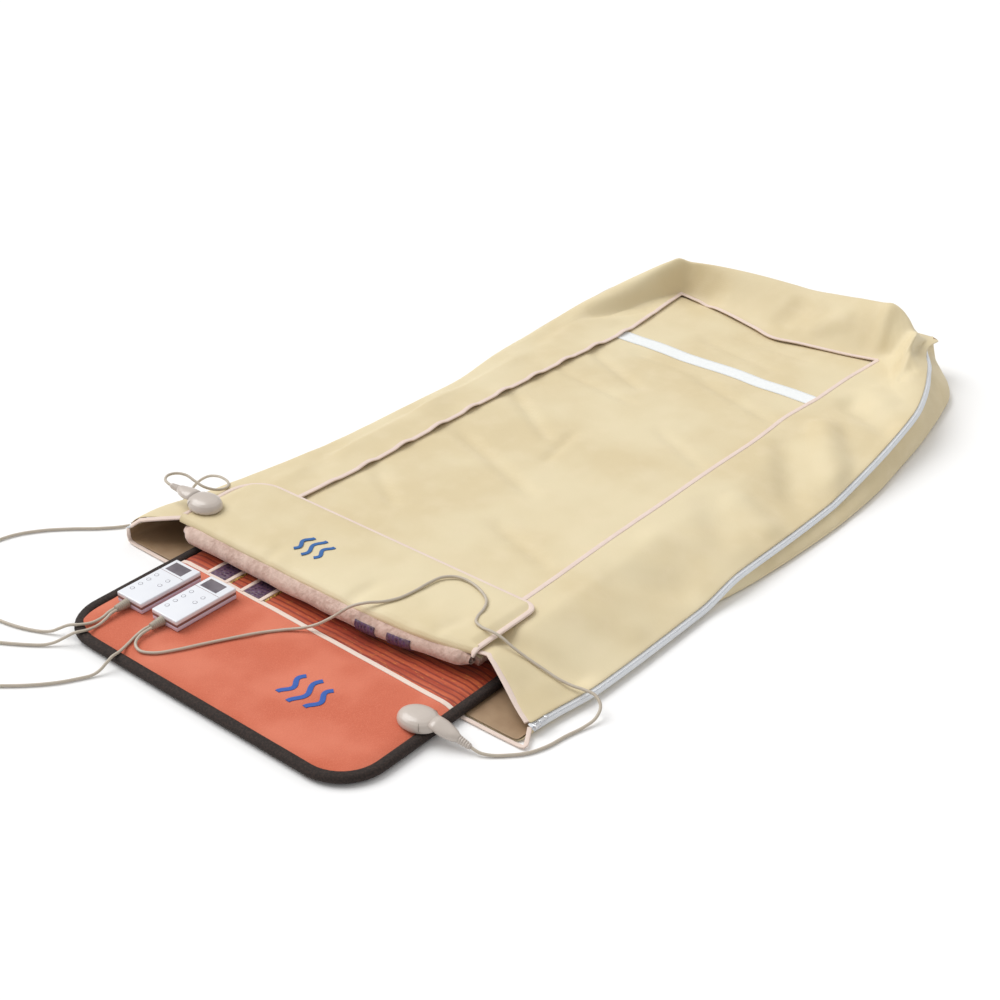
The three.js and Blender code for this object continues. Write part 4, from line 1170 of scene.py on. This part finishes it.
roll = grid_piece("head_roll", 120, len(ROLL) * 2 - 2, roll_spot, closed=True)
roll.data.materials.append(pale_plush)
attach(roll, "bag_top")
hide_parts("upper_front_edge")


def flap_back(x):
    if x < 0:
        into, corner = max(0, FLAP_LEFT + LEFT_CORNER - x), LEFT_CORNER
    else:
        into, corner = max(0, x - (FLAP_RIGHT - RIGHT_CORNER)), RIGHT_CORNER
    return FLAP_BACK - corner + sqrt(max(0, corner**2 - into**2))


def flap_spot(u, v):
    x = mix(FLAP_LEFT, FLAP_RIGHT, mix(u, smooth(u), 0.55))
    share, z = along(SECTION, v)
    y = mix(flap_back(x), read(FLAP_EDGE, x), share)
    near = smooth(min(x - FLAP_LEFT, FLAP_RIGHT - x) / 0.022)
    middle = 0.0690 if share < 0.92 else z
    z = mix(middle, z, 0.3 + 0.7 * near)
    puff = soft(x, y, 1, 0.07, 0.0018) + soft(x, y, 6, 0.03, 0.0007)
    if v < 0.55:
        z += puff * near * smooth((FLAP_BACK - y) / 0.03)
        z += sum(crease(x, y, *fold) for fold in FLAP_CREASES)
    return (x, y, z)


flap = grid_piece("head_flap", 110, (len(SECTION) - 1) * 3, flap_spot, closed=True)
flap.data.materials.append(cover_cloth)
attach(flap, "bag_top")
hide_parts("flap_panel")

hem = [(FLAP_LEFT + 0.001, -0.672), (FLAP_LEFT + 0.001, -0.640), (FLAP_LEFT + 0.001, -0.600)]
for side, corner in ((-1, LEFT_CORNER), (1, RIGHT_CORNER)):
    middle = (FLAP_LEFT if side < 0 else FLAP_RIGHT) - side * corner
    for i in range(9):
        turn = radians(180 - 11.25 * i if side < 0 else 90 - 11.25 * i)
        hem.append((middle + corner * cos(turn), FLAP_BACK - corner + corner * sin(turn)))
    if side < 0:
        hem += [(mix(middle, FLAP_RIGHT - RIGHT_CORNER, i / 8), FLAP_BACK) for i in range(1, 8)]
hem += [(FLAP_RIGHT, -0.560), (FLAP_RIGHT, -0.600), (FLAP_RIGHT, -0.634)]
front = [(0.0005, -0.646, 0.0705), (0.001, -0.6535, 0.0655), (0.002, -0.6545, 0.0600)]
hem = [(x, y, 0.0712) for x, y in hem] + [(FLAP_RIGHT - x, y, z) for x, y, z in front]
line, _ = route(hem, 0.006)
bound("flap_binding", line, 0.0050, 0.0105, 90, "bag_top")

PATCH_OUT, PATCH_DOWN = 0.0014, 0.0006
for number, (low, high) in enumerate(((0.081, 0.125), (0.151, 0.198)), 1):

    def patch_spot(u, v):
        y, z = along(ROLL[3:8], v)
        x, y, z = rolled(mix(low, high, u), y, z)
        return (x, y - PATCH_OUT, z - PATCH_DOWN)

    patch = grid_piece(f"upper_pocket_{number}", 14, 10, patch_spot)
    patch.data.materials.append(crystal)
    thickened(patch, 0.0014, 0)
    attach(patch, "bag_top")

# ---------------------------------------------------------------- pods
# Oval moulded pods that stand on the mats and hold the thermostat. A seam runs round each, and a
# wedge-shaped plug with a ribbed tail sits in its end.
pod_plastic, graph = finish("pod_plastic", Roughness=0.28, Coat_Weight=0.35, Coat_Roughness=0.15)
graph.wire(
    Base_Color=graph.grain(40, 3).blend((0.54, 0.475, 0.42), (0.60, 0.53, 0.475)),
    Roughness=graph.grain(160, 3) * 0.12 + 0.24,
    Normal=graph.grain(800, 2).raised(0.00008, 0.4),
)
seam_shade, graph = finish("pod_seam_shade", Roughness=0.6)
graph.wire(Base_Color=graph.grain(80).blend((0.22, 0.18, 0.15), (0.28, 0.24, 0.20)))
MAT_FACE = 0.0188
PODS = {
    "right": ("bag_base", (0.325, -0.803, MAT_FACE), 8, 18),
    "left": ("bag_top", (-0.366, -0.634, 0.0783), 177.3, 4),
}
DOME = [
    (0, 0), (0.020, 0), (0.0275, 0.0006), (0.0296, 0.0030), (0.0300, 0.0065), (0.0292, 0.0110),
    (0.0268, 0.0155), (0.0225, 0.0190), (0.0165, 0.0213), (0.0090, 0.0226), (0, 0.0230),
]
WEDGE = [
    (0.0155, -0.010), (0.0168, 0.0), (0.0172, 0.008), (0.0165, 0.016), (0.0138, 0.026), (0.0100, 0.034),
    (0.0078, 0.0375),
]
POD_TAIL = [
    (0, -0.010), *WEDGE, *ribbed(0.0074, -0.0022, 0.0385, 0.0041, 0.0023, 0.0038, 0.0011),
    (0.0047, 0.0636), (0.0044, 0.0640), (0, 0.0640),
]
for name, (body, foot, yaw, droop) in PODS.items():
    turn = Matrix.Translation(foot) @ Matrix.Rotation(radians(yaw), 4, "Z")

    def dome_place(x, y, z):
        return turn @ Vector((x * 1.25 - 0.0005, y, z + 0.0001))

    close = [tuple(along(DOME, i / 40)) for i in range(41)]
    shell = turned(f"pod_{name}_dome", close, 48, dome_place)
    groove = []
    for i in range(25):
        a = radians(-90 + 180 * i / 24)
        spot = (0.017 - 0.009 * cos(a) ** 2, 0.0268 * sin(a), 0.0075 + 0.0140 * cos(a) ** 0.7)
        groove.append(turn @ Vector(spot))
    seam = swept("pod_seam", groove, 0.0009, sides=2)
    shell.data.materials.append(pod_plastic)
    seam.data.materials.append(seam_shade)
    dome = joined(f"pod_{name}_dome", shell, seam)
    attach(dome, body)
    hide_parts(f"pod_{name}_shell")

    tilt = turn @ Matrix.Translation((0.036, 0, 0.012)) @ Matrix.Rotation(radians(droop), 4, "Y")

    def tail_place(x, y, z):
        return tilt @ Vector((z, y, x * mix(0.52, 1.0, smooth((z - 0.020) / 0.020))))

    tail = turned(f"pod_{name}_tail", POD_TAIL, 28, tail_place)
    tail.data.materials.append(pod_plastic)
    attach(tail, body)
    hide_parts(f"pod_{name}_plug")

# ---------------------------------------------------------------- hand controllers
# Flat hand-held boxes in three moulded layers: pearl base, mauve middle band and white cover, with
# a dark display window, six round keys in printed rings and a ribbed tail for the two leads.
CONTROLLERS = {"ctrl_1": (-0.282, -0.820), "ctrl_2": (-0.193, -0.816)}
KEYS = [
    (-0.0195, 0.0107), (-0.0195, -0.0075), (-0.0195, -0.026), (-0.0195, -0.0444), (0.0114, 0.0102),
    (0.0114, -0.008),
]
KEY_DISC = [
    (0, -0.0045), (0.0043, -0.0045), (0.0046, -0.0040), (0.0046, 0), (0.0044, 0.0003), (0.0035, 0.00035),
    (0.0030, 0.00035), (0, 0.0003),
]
BOOT = [
    (0, 0), (0.0088, 0), *ribbed(0.0088, -0.0024, 0.001, 0.0040, 0.0023, 0.0037, 0.0011),
    (0.0064, 0.0252), (0.0060, 0.0258), (0, 0.0258),
]
COVER_TOP = 0.0220
white_cover, graph = finish("white_cover", Roughness=0.22, Coat_Weight=0.3, Coat_Roughness=0.1)
graph.wire(
    Base_Color=graph.grain(24, 2).blend((0.80, 0.82, 0.88), (0.86, 0.88, 0.92)),
    Roughness=graph.grain(200) * 0.1 + 0.17,
)
mauve_band, graph = finish("mauve_band", Roughness=0.4)
graph.wire(Base_Color=graph.grain(60).blend((0.20, 0.10, 0.09), (0.26, 0.14, 0.12)))
pearl_base, graph = finish("pearl_base", Roughness=0.28, Coat_Weight=0.25, Coat_Roughness=0.2)
graph.wire(Base_Color=graph.grain(30).blend((0.62, 0.54, 0.66), (0.74, 0.67, 0.78)))
display_glass, graph = finish("display_glass", Roughness=0.12, Coat_Weight=0.6, Coat_Roughness=0.05)
graph.wire(
    Base_Color=graph.grain(30, 2).steps(0.35, 0.7).blend((0.105, 0.085, 0.105), (0.17, 0.145, 0.17)),
)
key_plastic, graph = finish("key_plastic", Roughness=0.4)
reach = graph.make("ShaderNodeSeparateXYZ", {}, {"Vector": graph.place(of="UV")}, 1)
ring_mark = reach.steps(0.58, 0.60) * (1 - reach.steps(0.70, 0.73))
graph.wire(
    Base_Color=ring_mark.blend((0.80, 0.82, 0.87), (0.10, 0.09, 0.12)),
    Roughness=ring_mark * 0.2 + 0.35,
)
board_green, graph = finish("board_green", Roughness=0.45)
traces = graph.grain(300, 2, (1, 0.1, 1)).steps(0.55, 0.6)
graph.wire(Base_Color=traces.blend((0.01, 0.12, 0.05), (0.05, 0.22, 0.10)))

for name, (cx, cy) in CONTROLLERS.items():
    z = MAT_FACE
    base = bevelled(f"{name}_tray", (0.065, 0.137, 0.0092), (cx, cy, z + 0.0046), 0.008, 0.0022)
    base.data.materials.append(pearl_base)
    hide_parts(f"{name}_base")
    band = bevelled("band", (0.0644, 0.1364, 0.0052), (cx, cy, z + 0.0112), 0.0078, 0.0006)
    band.data.materials.append(mauve_band)
    lid = bevelled("lid", (0.065, 0.137, 0.0088), (cx, cy, z + 0.0176), 0.008, 0.0020)
    lid.data.materials.append(white_cover)
    split = bevelled("line", (0.062, 0.0007, 0.0004), (cx, cy + 0.0292, z + COVER_TOP), 0.0001, 0.0001)
    split.data.materials.append(mauve_band)
    cover = joined(f"{name}_lid", lid, band, split)
    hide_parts(f"{name}_cover")
    spot = (cx - 0.0033, cy + 0.0475, z + 0.0214)
    glass = bevelled(f"{name}_window", (0.042, 0.027, 0.0016), spot, 0.0016, 0.0003)
    glass.data.materials.append(display_glass)
    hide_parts(f"{name}_display")

    def boot_place(x, y, h):
        return (cx - 0.005 + x, cy - 0.0685 - h, z + 0.0092 + y)

    boot = turned(f"{name}_boot", BOOT, 24, boot_place)
    boot.data.materials.append(plug_plastic)
    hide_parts(f"{name}_relief")
    for piece in (base, cover, glass, boot):
        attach(piece, "bag_base")
    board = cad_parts[f"{name}_board"]
    board.data.materials.clear()
    board.data.materials.append(board_green)

    for number, (kx, ky) in enumerate(KEYS, 1):

        def key_place(x, y, h):
            return (cx + kx + x, cy + ky + y, z + COVER_TOP + h)

        key = turned(f"{name}_button_{number}", KEY_DISC, 24, key_place)
        key.data.materials.append(key_plastic)
        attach(key, f"{name}_key_{number}")
        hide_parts(f"{name}_key_{number}")

# ---------------------------------------------------------------- printed marks
# A plain sign for heat, three rising waves, printed on the flap and on the plush apron.
FLAP_FACE = 0.0786


def flap_face(x, y):
    return FLAP_FACE


for name, body, centre, size, flip, surface, blue in (
    ("flap_mark", "bag_top", (-0.108, -0.606), 0.060, 1, flap_face, (0.020, 0.10, 0.30)),
    ("apron_mark", "bag_base", (0.130, -0.860), 0.075, -1, apron_top, (0.018, 0.08, 0.33)),
):
    ink, graph = finish(name + "_ink", Roughness=0.6)
    graph.wire(Base_Color=graph.grain(180, 3).blend(blue, tuple(c * 1.5 for c in blue)))
    waves = []
    for k in (-1, 0, 1):
        line = []
        for i in range(41):
            t = i / 40
            x = centre[0] + flip * (k * size * 0.42 + size * 0.085 * sin(2 * pi * t * 1.25))
            y = centre[1] + flip * size * (t - 0.5) * (1.0 if k == 0 else 0.8)
            line.append((x, y, surface(x, y) + 0.0006))
        waves.append(swept("wave", line, 0.0012, size * 0.13, radians(90)))
    mark = joined(name, *waves)
    mark.data.materials.append(ink)
    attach(mark, body)
